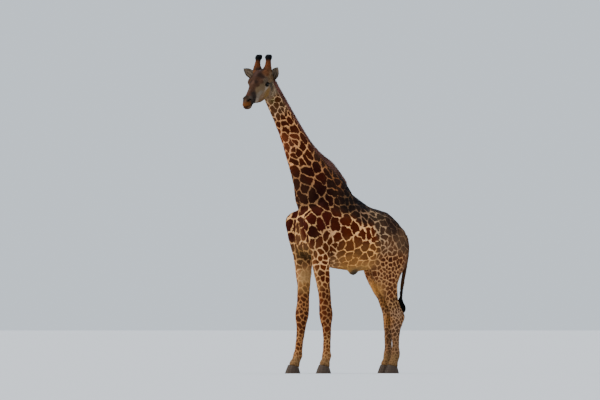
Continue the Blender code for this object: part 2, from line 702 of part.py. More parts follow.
def build():
    clear_scene()
    collection = bpy.data.collections.new("giraffe")
    helpers = bpy.data.collections.new("cutters")
    for made in (collection, helpers):
        bpy.context.scene.collection.children.link(made)
    body = flesh(helpers)
    cut_feet(body, helpers)
    hooves(collection)
    tail(collection, helpers)
    mane(collection)
    ossicones(collection)
    ears(collection)
    for side in SIDES:
        ossicone = grown(bpy.data.objects[f"ossicone_{side}"], 3 * PIECE_GAP, helpers)
        combine(bpy.data.objects[f"ear_{side}"], ossicone, "DIFFERENCE")
    larger = grown(body, PIECE_GAP, helpers)
    for name in ("tail", "mane", *(f"{kind}_{side}" for kind in ("ossicone", "ear") for side in SIDES)):
        combine(bpy.data.objects[name], larger, "DIFFERENCE")
    for obj in collection.objects:
        keep_shell(obj)
    eyes(body, collection, helpers)
    part_flesh(body, helpers, collection)
    centre_on_floor(collection.objects)
    for helper in helpers.objects:
        helper.hide_render = True
        helper.display_type = "WIRE"
    helpers.hide_render = True
    kinds = {
        "eye": ("eye", (0.03, 0.02, 0.015), 0.1),
        "hoof": ("hoof", (0.10, 0.08, 0.07), 0.5),
        "mane": ("mane", (0.18, 0.07, 0.03), 0.9),
        "tail_tuft": ("tail_tuft", (0.02, 0.015, 0.012), 0.8),
        "": ("coat", (0.35, 0.20, 0.10), 0.85),
    }
    for obj in collection.objects:
        kind, colour, roughness = next(kinds[start] for start in kinds if obj.name.startswith(start))
        obj.data.materials.clear()
        obj.data.materials.append(material(f"{kind}_{obj.name}", colour, roughness))


build()
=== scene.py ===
"""A life-size giraffe bull in his coat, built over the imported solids. Metres, +Z up; he faces -Y.

One skin takes the place of every piece of flesh. The coat, mane, tail switch, lashes and the hair of the
ossicones are locks of solid mesh set on that skin, and they carry the skin's own markings.
"""

import math

import bmesh
import bpy
import numpy as np
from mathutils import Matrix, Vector
from mathutils.kdtree import KDTree


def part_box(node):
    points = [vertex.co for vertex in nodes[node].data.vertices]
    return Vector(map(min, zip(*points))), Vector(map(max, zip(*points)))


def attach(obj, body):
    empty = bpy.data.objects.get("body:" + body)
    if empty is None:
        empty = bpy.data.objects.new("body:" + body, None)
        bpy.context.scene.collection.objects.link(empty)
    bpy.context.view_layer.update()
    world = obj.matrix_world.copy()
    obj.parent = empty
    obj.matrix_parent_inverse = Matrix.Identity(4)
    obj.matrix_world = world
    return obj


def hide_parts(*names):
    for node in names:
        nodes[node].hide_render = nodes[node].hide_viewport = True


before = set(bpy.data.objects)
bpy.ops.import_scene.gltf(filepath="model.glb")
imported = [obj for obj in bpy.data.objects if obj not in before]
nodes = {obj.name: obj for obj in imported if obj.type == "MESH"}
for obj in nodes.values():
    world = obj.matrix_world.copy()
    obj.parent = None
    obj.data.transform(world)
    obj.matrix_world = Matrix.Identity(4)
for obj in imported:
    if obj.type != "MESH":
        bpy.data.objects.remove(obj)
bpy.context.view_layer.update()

# ---------------------------------------------------------------------------------------------------
# Studio. The animal stands on a pale floor under a broad soft sky lamp, with a warmer lamp from
# his front left and a cool one from behind. The lens is long and stands a metre off the floor.
# ---------------------------------------------------------------------------------------------------
VIEW_AZIMUTH = math.radians(55)
VIEW_DISTANCE = 300.0
LENS_HEIGHT = 1.0
SEEN_WIDTH = 9.756
AIM_ASIDE, AIM_HEIGHT = -0.3325, 2.821
SENSOR = 36.0


def linear(code):
    """The linear RGB of an sRGB hex colour."""
    parts = [int(code[i : i + 2], 16) / 255 for i in (1, 3, 5)]
    return [c / 12.92 if c <= 0.04045 else ((c + 0.055) / 1.055) ** 2.4 for c in parts]


def new_material(name):
    """A fresh material, its node tree and its Principled shader."""
    made = bpy.data.materials.new(name)
    made.use_nodes = True
    return made, made.node_tree, made.node_tree.nodes["Principled BSDF"]


def add(tree, kind, settings=None, **sockets):
    """Adds a node. A socket's value is a number, a colour, or the output that feeds it."""
    node = tree.nodes.new(kind)
    for key, value in (settings or {}).items():
        setattr(node, key, value)
    for key, value in sockets.items():
        socket = node.inputs[int(key[1:])] if key[0] == "_" and key[1:].isdigit() else node.inputs[key]
        if isinstance(value, bpy.types.NodeSocket):
            tree.links.new(value, socket)
        else:
            socket.default_value = value
    return node


def colour4(code):
    return (*linear(code), 1.0)


across_view = Vector((math.cos(VIEW_AZIMUTH), math.sin(VIEW_AZIMUTH), 0))
towards_lens = Vector((math.sin(VIEW_AZIMUTH), -math.cos(VIEW_AZIMUTH), 0))
aim = across_view * AIM_ASIDE + Vector((0, 0, AIM_HEIGHT))
lens_place = across_view * AIM_ASIDE + towards_lens * VIEW_DISTANCE + Vector((0, 0, LENS_HEIGHT))
camera_data = bpy.data.cameras.new("camera")
camera_data.sensor_width = SENSOR
camera_data.lens = SENSOR * VIEW_DISTANCE / SEEN_WIDTH
camera_data.clip_end = 1500
camera = bpy.data.objects.new("camera", camera_data)
camera.location = lens_place
camera.rotation_mode = "QUATERNION"
camera.rotation_quaternion = (aim - lens_place).to_track_quat("-Z", "Y")
bpy.context.scene.collection.objects.link(camera)
bpy.context.scene.camera = camera

bpy.ops.mesh.primitive_circle_add(vertices=96, radius=700, fill_type="NGON")
floor = bpy.context.object
floor.name = "floor"
studio_floor, tree, surface = new_material("painted_studio_floor")
tone = add(tree, "ShaderNodeTexNoise", Scale=0.35, Detail=3.0)
shade = add(
    tree,
    "ShaderNodeMix",
    {"data_type": "RGBA"},
    _0=tone.outputs["Fac"],
    _6=colour4("#c4c8cc"),
    _7=colour4("#ccd0d4"),
)
tree.links.new(shade.outputs[2], surface.inputs["Base Color"])
surface.inputs["Roughness"].default_value = 0.9
floor.data.materials.append(studio_floor)

world = bpy.data.worlds.new("studio_air")
bpy.context.scene.world = world
world.use_nodes = True
air = world.node_tree.nodes["Background"]
air.inputs["Color"].default_value = colour4("#d9e4ee")
air.inputs["Strength"].default_value = 1.10


def lamp(name, place, width, strength, code):
    """A far soft lamp that lights floor and animal evenly; its width is the angle it fills, in degrees."""
    data = bpy.data.lights.new(name, "SUN")
    data.angle, data.energy = math.radians(width), strength
    data.color = linear(code)
    made = bpy.data.objects.new(name, data)
    made.location = place
    made.rotation_mode = "QUATERNION"
    made.rotation_quaternion = (Vector((0, 0.3, 2.6)) - Vector(place)).to_track_quat("-Z", "Y")
    bpy.context.scene.collection.objects.link(made)


lamp("sky_lamp", (2.0, -2.0, 13.0), 35, 1.5, "#f4f6ff")
lamp("front_lamp", (-4.5, -12.0, 8.5), 16, 2.8, "#fff1de")
lamp("side_lamp", (12.0, -6.0, 5.0), 30, 0.45, "#fff6ea")
lamp("back_lamp", (-7.0, 9.0, 8.0), 25, 0.55, "#e9f0ff")

# ---------------------------------------------------------------------------------------------------
# The skin's form: hide over muscle and bone, one closed sheet from lips to hooves. The solids of the
# flesh are joined, their saw cuts close, the facets are smoothed out, and the sheet is drawn in by the
# depth of the coat. The head is divided finer for its lids, lips and folds.
# ---------------------------------------------------------------------------------------------------
FLESH = ["head", "neck", "trunk", "tail", "eye_left", "eye_right"]
FLESH += [f"{pair}leg_{side}" for pair in ("fore", "hind") for side in ("left", "right")]
SKIN_VOXEL = 0.0165
TAIL_FULLER = 0.013  # what the closing of the cuts takes off the thin tail
SIDES = {"left": 1, "right": -1}
HEAD_PITCH = math.radians(39)
EYE_IN_HEAD = (-0.030, 0.142, -0.036)  # ahead of, aside of and above the eyes' midpoint

rng = np.random.default_rng(7)


def as_arrays(mesh):
    """A mesh's points and its triangles."""
    mesh.calc_loop_triangles()
    points = np.empty(len(mesh.vertices) * 3)
    mesh.vertices.foreach_get("co", points)
    triangles = np.empty(len(mesh.loop_triangles) * 3, np.int64)
    mesh.loop_triangles.foreach_get("vertices", triangles)
    return points.reshape(-1, 3), triangles.reshape(-1, 3)


def new_piece(name, points, faces, replaced=()):
    """A shown piece made of these points and faces, riding on the one body."""
    mesh = bpy.data.meshes.new(name)
    mesh.from_pydata(points, [], faces)
    made = bpy.data.objects.new(name, mesh)
    bpy.context.scene.collection.objects.link(made)
    mesh.shade_smooth()
    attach(made, "root")
    if replaced:
        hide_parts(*replaced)
    return made


def eye_middle(side):
    low, high = (Vector(corner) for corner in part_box(f"eye_{side}"))
    return (low + high) / 2


leftwards = (eye_middle("left") - eye_middle("right")).normalized()
level_ahead = Vector((leftwards.y, -leftwards.x, 0))
ahead = level_ahead * math.cos(HEAD_PITCH) - Vector((0, 0, math.sin(HEAD_PITCH)))
crown = ahead.cross(leftwards)
head_axes = np.array([ahead, leftwards, crown])
between_eyes = (eye_middle("left") + eye_middle("right")) / 2
head_origin = between_eyes - ahead * EYE_IN_HEAD[0] - crown * EYE_IN_HEAD[2]
eye_radius = (Vector(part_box("eye_left")[1]) - Vector(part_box("eye_left")[0])).z / 2


def in_head(points):
    """World places as places in the head's frame: ahead, to his left, up."""
    return (points - np.array(head_origin)) @ head_axes.T


def from_head(places):
    return np.asarray(places) @ head_axes + np.array(head_origin)


joined = bmesh.new()
for name in FLESH:
    joined.from_mesh(nodes[name].data)
bmesh.ops.remove_doubles(joined, verts=joined.verts, dist=0.00002)
raw_mesh = bpy.data.meshes.new("joined_flesh")
joined.to_mesh(raw_mesh)
joined.free()
raw = bpy.data.objects.new("joined_flesh", raw_mesh)
bpy.context.scene.collection.objects.link(raw)
remesh = raw.modifiers.new("close_cuts", "REMESH")
remesh.mode, remesh.voxel_size, remesh.adaptivity = "VOXEL", SKIN_VOXEL, 0.0
form = bmesh.new()
form.from_mesh(raw.evaluated_get(bpy.context.evaluated_depsgraph_get()).to_mesh())
bpy.data.objects.remove(raw)


def read_points(shape):
    return np.array([v.co[:] for v in shape.verts])


def write_points(shape, points):
    for v, place in zip(shape.verts, points.tolist()):
        v.co = place


def neighbour_mean(points, pairs, count):
    """The mean place of each point's neighbours."""
    total = np.zeros_like(points)
    for axis in range(3):
        total[:, axis] = np.bincount(pairs[:, 0], points[pairs[:, 1], axis], len(points))
        total[:, axis] += np.bincount(pairs[:, 1], points[pairs[:, 0], axis], len(points))
    return total / count[:, None]


def even_out(shape, rounds, share=None):
    """Takes out facets and steps without shrinking the form."""
    points = read_points(shape)
    pairs = np.array([(e.verts[0].index, e.verts[1].index) for e in shape.edges])
    count = np.maximum(np.bincount(pairs.ravel(), minlength=len(points)), 1)
    weight = 1.0 if share is None else share[:, None]
    for _ in range(rounds):
        for strength in (0.50, -0.52):
            points = points + (neighbour_mean(points, pairs, count) - points) * strength * weight
    write_points(shape, points)


def refine(shape, chosen):
    """Divides each edge whose two ends are both chosen."""
    picked = [e for e in shape.edges if chosen[e.verts[0].index] and chosen[e.verts[1].index]]
    bmesh.ops.subdivide_edges(shape, edges=picked, cuts=1, use_grid_fill=True)
    shape.verts.index_update()


def face_share(points):
    """1 on the head, falling to 0 down the first of the neck."""
    place = in_head(points)
    level = (points - np.array(head_origin)) @ np.array(level_ahead)
    far = np.linalg.norm(place * np.array([0.8, 1, 1]), axis=1)
    return np.clip((0.47 - np.where(place[:, 0] > 0, 0, far)) / 0.12, 0, 1) * (level > -0.42)


part_labels = []
label_tree = KDTree(sum(len(nodes[name].data.vertices) for name in FLESH))
for number, name in enumerate(FLESH):
    for vertex in nodes[name].data.vertices:
        label_tree.insert(vertex.co, len(part_labels))
        part_labels.append(number)
label_tree.balance()


def nearest_part(points):
    """The number in FLESH of the solid nearest each point."""
    return np.array([part_labels[label_tree.find(place)[1]] for place in points.tolist()])


form.verts.index_update()
on_tail = nearest_part(read_points(form)) == FLESH.index("tail")
even_out(form, 26, np.where(on_tail, 0.2, 1.0))
form.normal_update()
for v, thin in zip(form.verts, on_tail):
    if thin and v.co.z < 2.25:
        v.co += v.normal * TAIL_FULLER
refine(form, face_share(read_points(form)) > 0.3)
even_out(form, 6, face_share(read_points(form)))
refine(form, face_share(read_points(form)) > 0.8)
even_out(form, 5, face_share(read_points(form)))

# Where the face is finest, each in the head's frame: ahead, aside, up, and how far it reaches.
FINEST = ((EYE_IN_HEAD, 0.062), ((0.446, 0.055, 0.005), 0.062), ((0.46, 0.03, -0.075), 0.095))
place = in_head(read_points(form))
near = np.zeros(len(place), bool)
for middle, reach in FINEST:
    near |= np.linalg.norm(place * [1, 1, 1] - np.array(middle), axis=1) < reach
    near |= np.linalg.norm(place * [1, -1, 1] - np.array(middle), axis=1) < reach
refine(form, near)
place = in_head(read_points(form))
near = np.zeros(len(place), bool)
for mirrored in SIDES.values():
    near |= np.linalg.norm(place - np.array(EYE_IN_HEAD) * [1, mirrored, 1], axis=1) < 0.047
refine(form, near & (np.abs(place[:, 1]) > EYE_IN_HEAD[1]))
form.normal_update()


def along_stroke(flat, path, width):
    """How strongly each flat place feels a stroke drawn along a path: 1 on it, 0 a few widths off."""
    best = np.full(len(flat), 9.0)
    path = np.array(path, float)
    for a, b in zip(path[:-1], path[1:]):
        share = np.clip(((flat - a) @ (b - a)) / ((b - a) @ (b - a)), 0, 1)
        best = np.minimum(best, np.linalg.norm(flat - a - share[:, None] * (b - a), axis=1))
    return np.exp(-((best / width) ** 2))


def read_normals(shape):
    shape.normal_update()
    return np.array([v.normal[:] for v in shape.verts])


TAIL_FROM = 1.45


def ease_creases(shape, rounds):
    """Softens only the points that stand well off the mean of their neighbours, as along a crease."""
    points = read_points(shape)
    pairs = np.array([(e.verts[0].index, e.verts[1].index) for e in shape.edges])
    count = np.maximum(np.bincount(pairs.ravel(), minlength=len(points)), 1)
    spans = np.linalg.norm(points[pairs[:, 0]] - points[pairs[:, 1]], axis=1)
    spacing = np.bincount(pairs.ravel(), np.repeat(spans, 2))
    spacing /= count
    for _ in range(rounds):
        off = neighbour_mean(points, pairs, count) - points
        sharp = np.clip(np.linalg.norm(off, axis=1) / spacing * 6 - 0.6, 0, 1) * (points[:, 1] < TAIL_FROM)
        points = points + off * (0.6 * sharp)[:, None]
    write_points(shape, points)


ease_creases(form, 12)

# Folds and swellings of the face, seen from its side: the path (ahead, up), the width, and the height.
FACE_STROKES = (
    (((0.020, -0.080), (0.11, -0.092), (0.21, -0.084), (0.29, -0.066)), 0.016, 0.0055),  # cheek bone
    (((0.05, -0.118), (0.15, -0.132), (0.25, -0.115)), 0.030, -0.006),  # hollow under it
    (((-0.145, -0.06), (-0.150, -0.15), (-0.115, -0.235), (-0.04, -0.285)), 0.016, -0.006),  # behind the jaw
    (((-0.08, -0.12), (-0.09, -0.19), (-0.03, -0.24)), 0.040, 0.007),  # jaw muscle
    (((0.09, -0.20), (0.19, -0.165), (0.28, -0.13)), 0.013, -0.0035),  # cheek's lower fold
    (((0.040, -0.004), (0.012, 0.020), (-0.030, 0.028), (-0.070, 0.012)), 0.015, 0.007),  # brow
    (((0.012, -0.086), (-0.030, -0.096), (-0.070, -0.078)), 0.010, 0.003),  # pouch under the eye
    (((0.022, -0.096), (-0.032, -0.110), (-0.080, -0.090)), 0.007, -0.0028),  # crease under the pouch
    (((0.31, 0.034), (0.365, 0.020), (0.40, -0.020)), 0.016, -0.005),  # behind the nostril
    (((0.385, 0.022), (0.44, 0.036), (0.490, 0.022)), 0.013, 0.005),  # rim over the nostril
    (((0.42, -0.045), (0.47, -0.048), (0.52, -0.034)), 0.016, 0.004),  # upper lip
    (  # mouth
        ((0.30, -0.092), (0.345, -0.090), (0.40, -0.084), (0.451, -0.077), (0.505, -0.066), (0.555, -0.055)),
        0.0055,
        -0.0085,
    ),
    (((0.36, -0.070), (0.45, -0.058), (0.53, -0.040)), 0.010, 0.0035),  # lip over it
    (((0.36, -0.106), (0.45, -0.096), (0.53, -0.078)), 0.010, 0.003),  # lip under it
    (((0.27, -0.076), (0.285, -0.094), (0.275, -0.118)), 0.010, -0.003),  # corner of the mouth
)
points, normals = read_points(form), read_normals(form)
place, turned = in_head(points), normals @ head_axes.T
sideways = np.clip(np.abs(turned[:, 1]) * 1.6 + np.clip((place[:, 0] - 0.44) / 0.08, 0, 1), 0, 1)
on_face = face_share(points)
for path, width, height in FACE_STROKES:
    felt = along_stroke(place[:, [0, 2]], path, width) * sideways * on_face
    points += normals * (felt * height)[:, None]

# The nostrils: slanting slits in the sides of the muzzle.
NOSTRIL = ((0.415, -0.014), (0.424, 0.001), (0.440, 0.011), (0.459, 0.013), (0.477, 0.006))
for path, width, height in ((NOSTRIL, 0.018, 0.0055), (NOSTRIL, 0.0080, -0.0210)):
    felt = along_stroke(in_head(points)[:, [0, 2]], path, width) * np.clip(np.abs(turned[:, 1]) * 2, 0, 1)
    points += normals * (felt * height * (np.abs(place[:, 1]) > 0.02))[:, None]

# The lids: a rounded rim that stands off the eyeball round an almond opening, with a fold over the upper.
LID_STAND, LID_ROLL, LID_FOLD = 0.0026, 0.0016, 0.0030
ALMOND_LENGTH, ALMOND_HEIGHT, ALMOND_TILT = 0.97, 0.66, -0.80
LID_REACH = 0.060
place = in_head(points)
for side, mirrored in SIDES.items():
    middle = np.array(EYE_IN_HEAD) * [1, mirrored, 1]
    offset = place - middle
    reach = np.linalg.norm(offset, axis=1)
    way = offset / np.maximum(reach, 1e-6)[:, None]
    outward = way[:, 1] * mirrored
    tilted = way[:, 0] * math.cos(ALMOND_TILT) - way[:, 2] * math.sin(ALMOND_TILT)
    raised = way[:, 2] * math.cos(ALMOND_TILT) + way[:, 0] * math.sin(ALMOND_TILT) + 0.04
    from_slit = np.sqrt((tilted / ALMOND_LENGTH) ** 2 + (raised / ALMOND_HEIGHT) ** 2)
    opened = np.clip((1.03 - from_slit) / 0.06, 0, 1)
    upper = np.clip(raised * 4, 0, 1)
    lid = eye_radius + LID_STAND + LID_ROLL * (1 + upper) * np.exp(-(((from_slit - 1.10) / 0.07) ** 2))
    lid += LID_FOLD * upper * (
        np.exp(-(((from_slit - 1.55) / 0.12) ** 2)) - 0.9 * np.exp(-(((from_slit - 1.33) / 0.06) ** 2))
    )
    target = lid * (1 - opened) + eye_radius * 0.84 * opened
    hold = np.clip((LID_REACH - reach) / 0.022, 0, 1) * np.clip((outward - 0.02) / 0.22, 0, 1)
    new_reach = reach * (1 - hold) + target * hold
    place = np.where((hold > 0)[:, None], middle + way * new_reach[:, None], place)
points = from_head(place)

# Forms of the body seen from its side: the path (back, up), the width, and the height.
BODY_STROKES = (
    (((-0.30, 2.55), (-0.36, 2.25), (-0.33, 1.95), (-0.22, 1.70)), 0.030, -0.012),  # before the shoulder
    (((0.02, 2.45), (-0.02, 2.15), (-0.01, 1.90), (-0.03, 1.68)), 0.030, -0.013),  # behind the arm
    (((0.06, 2.20), (0.045, 1.98), (0.035, 1.80)), 0.020, 0.010),  # loose skin of the elbow
    (((-0.10, 2.95), (-0.16, 2.70), (-0.24, 2.45)), 0.060, 0.012),  # shoulder blade's spine
    (((0.02, 2.90), (-0.05, 2.62), (-0.12, 2.42)), 0.045, -0.009),
    (((-0.28, 2.10), (-0.20, 1.90), (-0.12, 1.72)), 0.050, 0.010),  # upper arm
    (((0.95, 2.62), (1.06, 2.55)), 0.050, 0.016),  # point of the hip
    (((1.04, 2.50), (0.98, 2.25), (0.96, 2.02), (0.94, 1.88)), 0.034, -0.013),  # flank's edge
    (((0.90, 2.42), (0.86, 2.25), (0.84, 2.10)), 0.060, -0.010),  # hollow of the flank
    (((1.10, 2.45), (1.20, 2.15), (1.14, 1.88)), 0.070, 0.008),  # thigh
    (((1.36, 2.40), (1.40, 2.10), (1.36, 1.80), (1.30, 1.60)), 0.026, -0.008),  # seam of the ham
    (((1.22, 1.58), (1.28, 1.42), (1.34, 1.25)), 0.018, -0.006),  # shank
)
for start in (0.16, 0.28, 0.40, 0.52, 0.64):  # ribs
    BODY_STROKES += ((((start - 0.05, 2.52), (start, 2.25), (start + 0.05, 1.98)), 0.024, 0.0032),)
LEG_STROKES = (
    (((-0.105, 0.86), (-0.075, 0.78)), 0.026, 0.004),  # knee's lower edge
    (((-0.02, 0.74), (-0.012, 0.50), (-0.01, 0.34)), 0.010, -0.004),  # tendon of the fore cannon
    (((1.33, 1.20), (1.36, 1.06), (1.42, 0.98)), 0.014, -0.007),  # before the heel tendon
    (((1.405, 0.78), (1.395, 0.55), (1.385, 0.36)), 0.010, -0.004),
)
FORE_STRAY, HIND_STRAY = -0.270, 0.110  # how far his right feet stand ahead of and behind his left


def square_up(points):
    """The places as they would be if he stood with his feet square."""
    x, y, z = points.T
    fore = FORE_STRAY * np.clip((1.75 - z) / 1.75, 0, 1) * (y < 0.45)
    hind = HIND_STRAY * np.clip((2.40 - z) / 0.70, 0, 1) * (y >= 0.45)
    return np.column_stack([x, y - np.where(x < 0, fore + hind, 0) * (z < 2.4), z])


normals = read_normals(form)
squared = square_up(points)
for path, width, height in BODY_STROKES:
    felt = along_stroke(squared[:, [1, 2]], path, width) * np.clip(np.abs(normals[:, 0]) * 1.5, 0, 1)
    points += normals * (felt * height * (np.abs(squared[:, 0]) > 0.1))[:, None]
for path, width, height in LEG_STROKES:
    felt = along_stroke(squared[:, [1, 2]], path, width) * np.clip(np.abs(normals[:, 0]) * 1.5 - 0.3, 0, 1)
    points += normals * (felt * height)[:, None]


def wobble(points, wavelength, seed, waves=9):
    """A smooth random field of about unit height, made of a few crossed waves."""
    draw = np.random.default_rng(seed)
    ways = draw.normal(size=(waves, 3))
    lengths = np.linalg.norm(ways, axis=1)[:, None]
    ways *= (math.tau / wavelength) * draw.uniform(0.6, 1.4, (waves, 1)) / lengths
    phases = draw.uniform(0, math.tau, waves)
    return np.sin(points @ ways.T + phases).sum(axis=1) * math.sqrt(2 / waves)


# Muscle under the hide never lies quite flat.
fleshy = 1 - face_share(points)
points += normals * ((wobble(points, 0.16, 3) * 0.0016 + wobble(points, 0.07, 4) * 0.0006) * fleshy)[:, None]

# ---------------------------------------------------------------------------------------------------
# The coat's plan. Hair colour, patches and lie change over the body, so they are told at named places
# and blended between them. Each place: where it is, which way the hair lies, the patch's size and its
# stretch along the hair, the width of the pale line, how strongly it is marked, the zone whose tones
# it has, and the length of the hair in millimetres.
# ---------------------------------------------------------------------------------------------------
TONES = {  # each zone's two tones: the patch, then the line between the patches
    # neck: rust in front, smoke-brown along the mane
    "upper_neck": ("#64401c", "#d0b090"),
    "neck": ("#663410", "#d8ac80"),
    "neck_front": ("#783c10", "#deb088"),
    "lower_neck": ("#56280e", "#c09670"),
    "beside_mane": ("#3a2620", "#a27854"),
    "neck_root": ("#46200e", "#aa8868"),
    # back: near black over the withers, with dull lines
    "withers": ("#161826", "#56483e"),
    "below_withers": ("#281a18", "#80664e"),
    "upper_flank": ("#3a2414", "#a48870"),
    "loin": ("#241e22", "#68584c"),
    "hip": ("#34241c", "#bca286"),
    # barrel: chestnut on cream, paler towards the belly
    "shoulder": ("#642a0c", "#caa47c"),
    "flank_front": ("#6c340c", "#e0b890"),
    "elbow": ("#704012", "#dcb890"),
    "breast": ("#5a280c", "#d8b488"),
    # the brisket's darker, duller tones are painted shade under the chest, laid over its real markings
    "brisket_under_painted_shade": ("#402a16", "#a08258"),
    "flank": ("#743a0c", "#f8cc98"),
    "low_flank": ("#724012", "#f4c488"),
    "belly_side": ("#80542a", "#f0be80"),
    "belly": ("#8c5a2a", "#dab276"),
    "sheath": ("#5c5044", "#665a4c"),
    "belly_front": ("#6c4420", "#e8c094"),
    # hindquarters: dark croup, buff legs
    "haunch": ("#583a28", "#c8ae90"),
    "rump": ("#382620", "#846c5a"),
    "croup": ("#2a1a18", "#6a5242"),
    "buttock": ("#5c4434", "#a0866c"),
    "under_tail": ("#3c2c20", "#7c644c"),
    "upper_thigh": ("#6c4422", "#c8a888"),
    "thigh": ("#683410", "#cca47c"),
    "thigh_back": ("#70401c", "#b69478"),
    "gaskin": ("#5c3616", "#c2a07a"),
    "hock": ("#603e28", "#b6987c"),
    "hind_cannon": ("#64462c", "#a4866a"),
    "inner_thigh": ("#8a6236", "#c89e66"),
    "inner_gaskin": ("#704c2a", "#b48c5e"),
    "pastern": ("#624832", "#9a8060"),
    # forelegs
    "forearm_top": ("#764010", "#f2c898"),
    "forearm": ("#6e380e", "#cca478"),
    "knee": ("#6c3a12", "#b08a64"),
    "fore_cannon": ("#704216", "#b08e68"),
    "inner_forearm": ("#7a5028", "#ccac80"),
    "above_knee": ("#5a3216", "#c8a272"),
    "inner_knee": ("#5a2a10", "#b48a60"),
    # tail
    "tail_root": ("#4a3226", "#886648"),
    "tail": ("#3c2a20", "#6a4c34"),
    "tail_end": ("#241a16", "#34241c"),
    # top of the head
    "crown": ("#52423a", "#54443c"),
    "forehead": ("#604c44", "#624e46"),
    "forehead_side": ("#4c3830", "#4c3a30"),
    "bridge": ("#5e483a", "#60493a"),
    "bridge_top": ("#6c564a", "#6e584c"),
    # sides of the head: grey-buff cheeks with faint brown marks
    "brow": ("#5a4a3c", "#7a6c5e"),
    "temple": ("#6e543a", "#907c66"),
    "horn_foot": ("#74543a", "#785840"),
    "behind_eye": ("#5e564c", "#60584c"),
    "under_eye": ("#a29486", "#a6988a"),
    "upper_cheek": ("#86745e", "#887660"),
    "cheek": ("#887c6a", "#94887a"),
    "jaw": ("#765e4a", "#96806a"),
    "jaw_edge": ("#7a5c42", "#866e54"),
    "jowl": ("#7a6040", "#967c56"),
    "behind_jaw": ("#5e5040", "#6c6050"),
    "nape_side": ("#6a563a", "#a89682"),
    "throat": ("#665028", "#c4b08c"),
    # muzzle
    "muzzle": ("#483e3a", "#4a403a"),
    "muzzle_top": ("#6a5040", "#6c5042"),
    "nostril_rim": ("#645a52", "#645a52"),
    "nose": ("#4a3e34", "#4a3e34"),
    "lip_top": ("#6c5644", "#6c5644"),
    "lip": ("#7a5430", "#7a5632"),
    "lip_edge": ("#5a3c26", "#5c3e28"),
    "chin": ("#745e4c", "#78624e"),
}
DOWN_NECK, BACK, DOWN = (0.0, 0.60, -0.80), (0.0, 1.0, -0.25), (0.0, 0.12, -1.0)
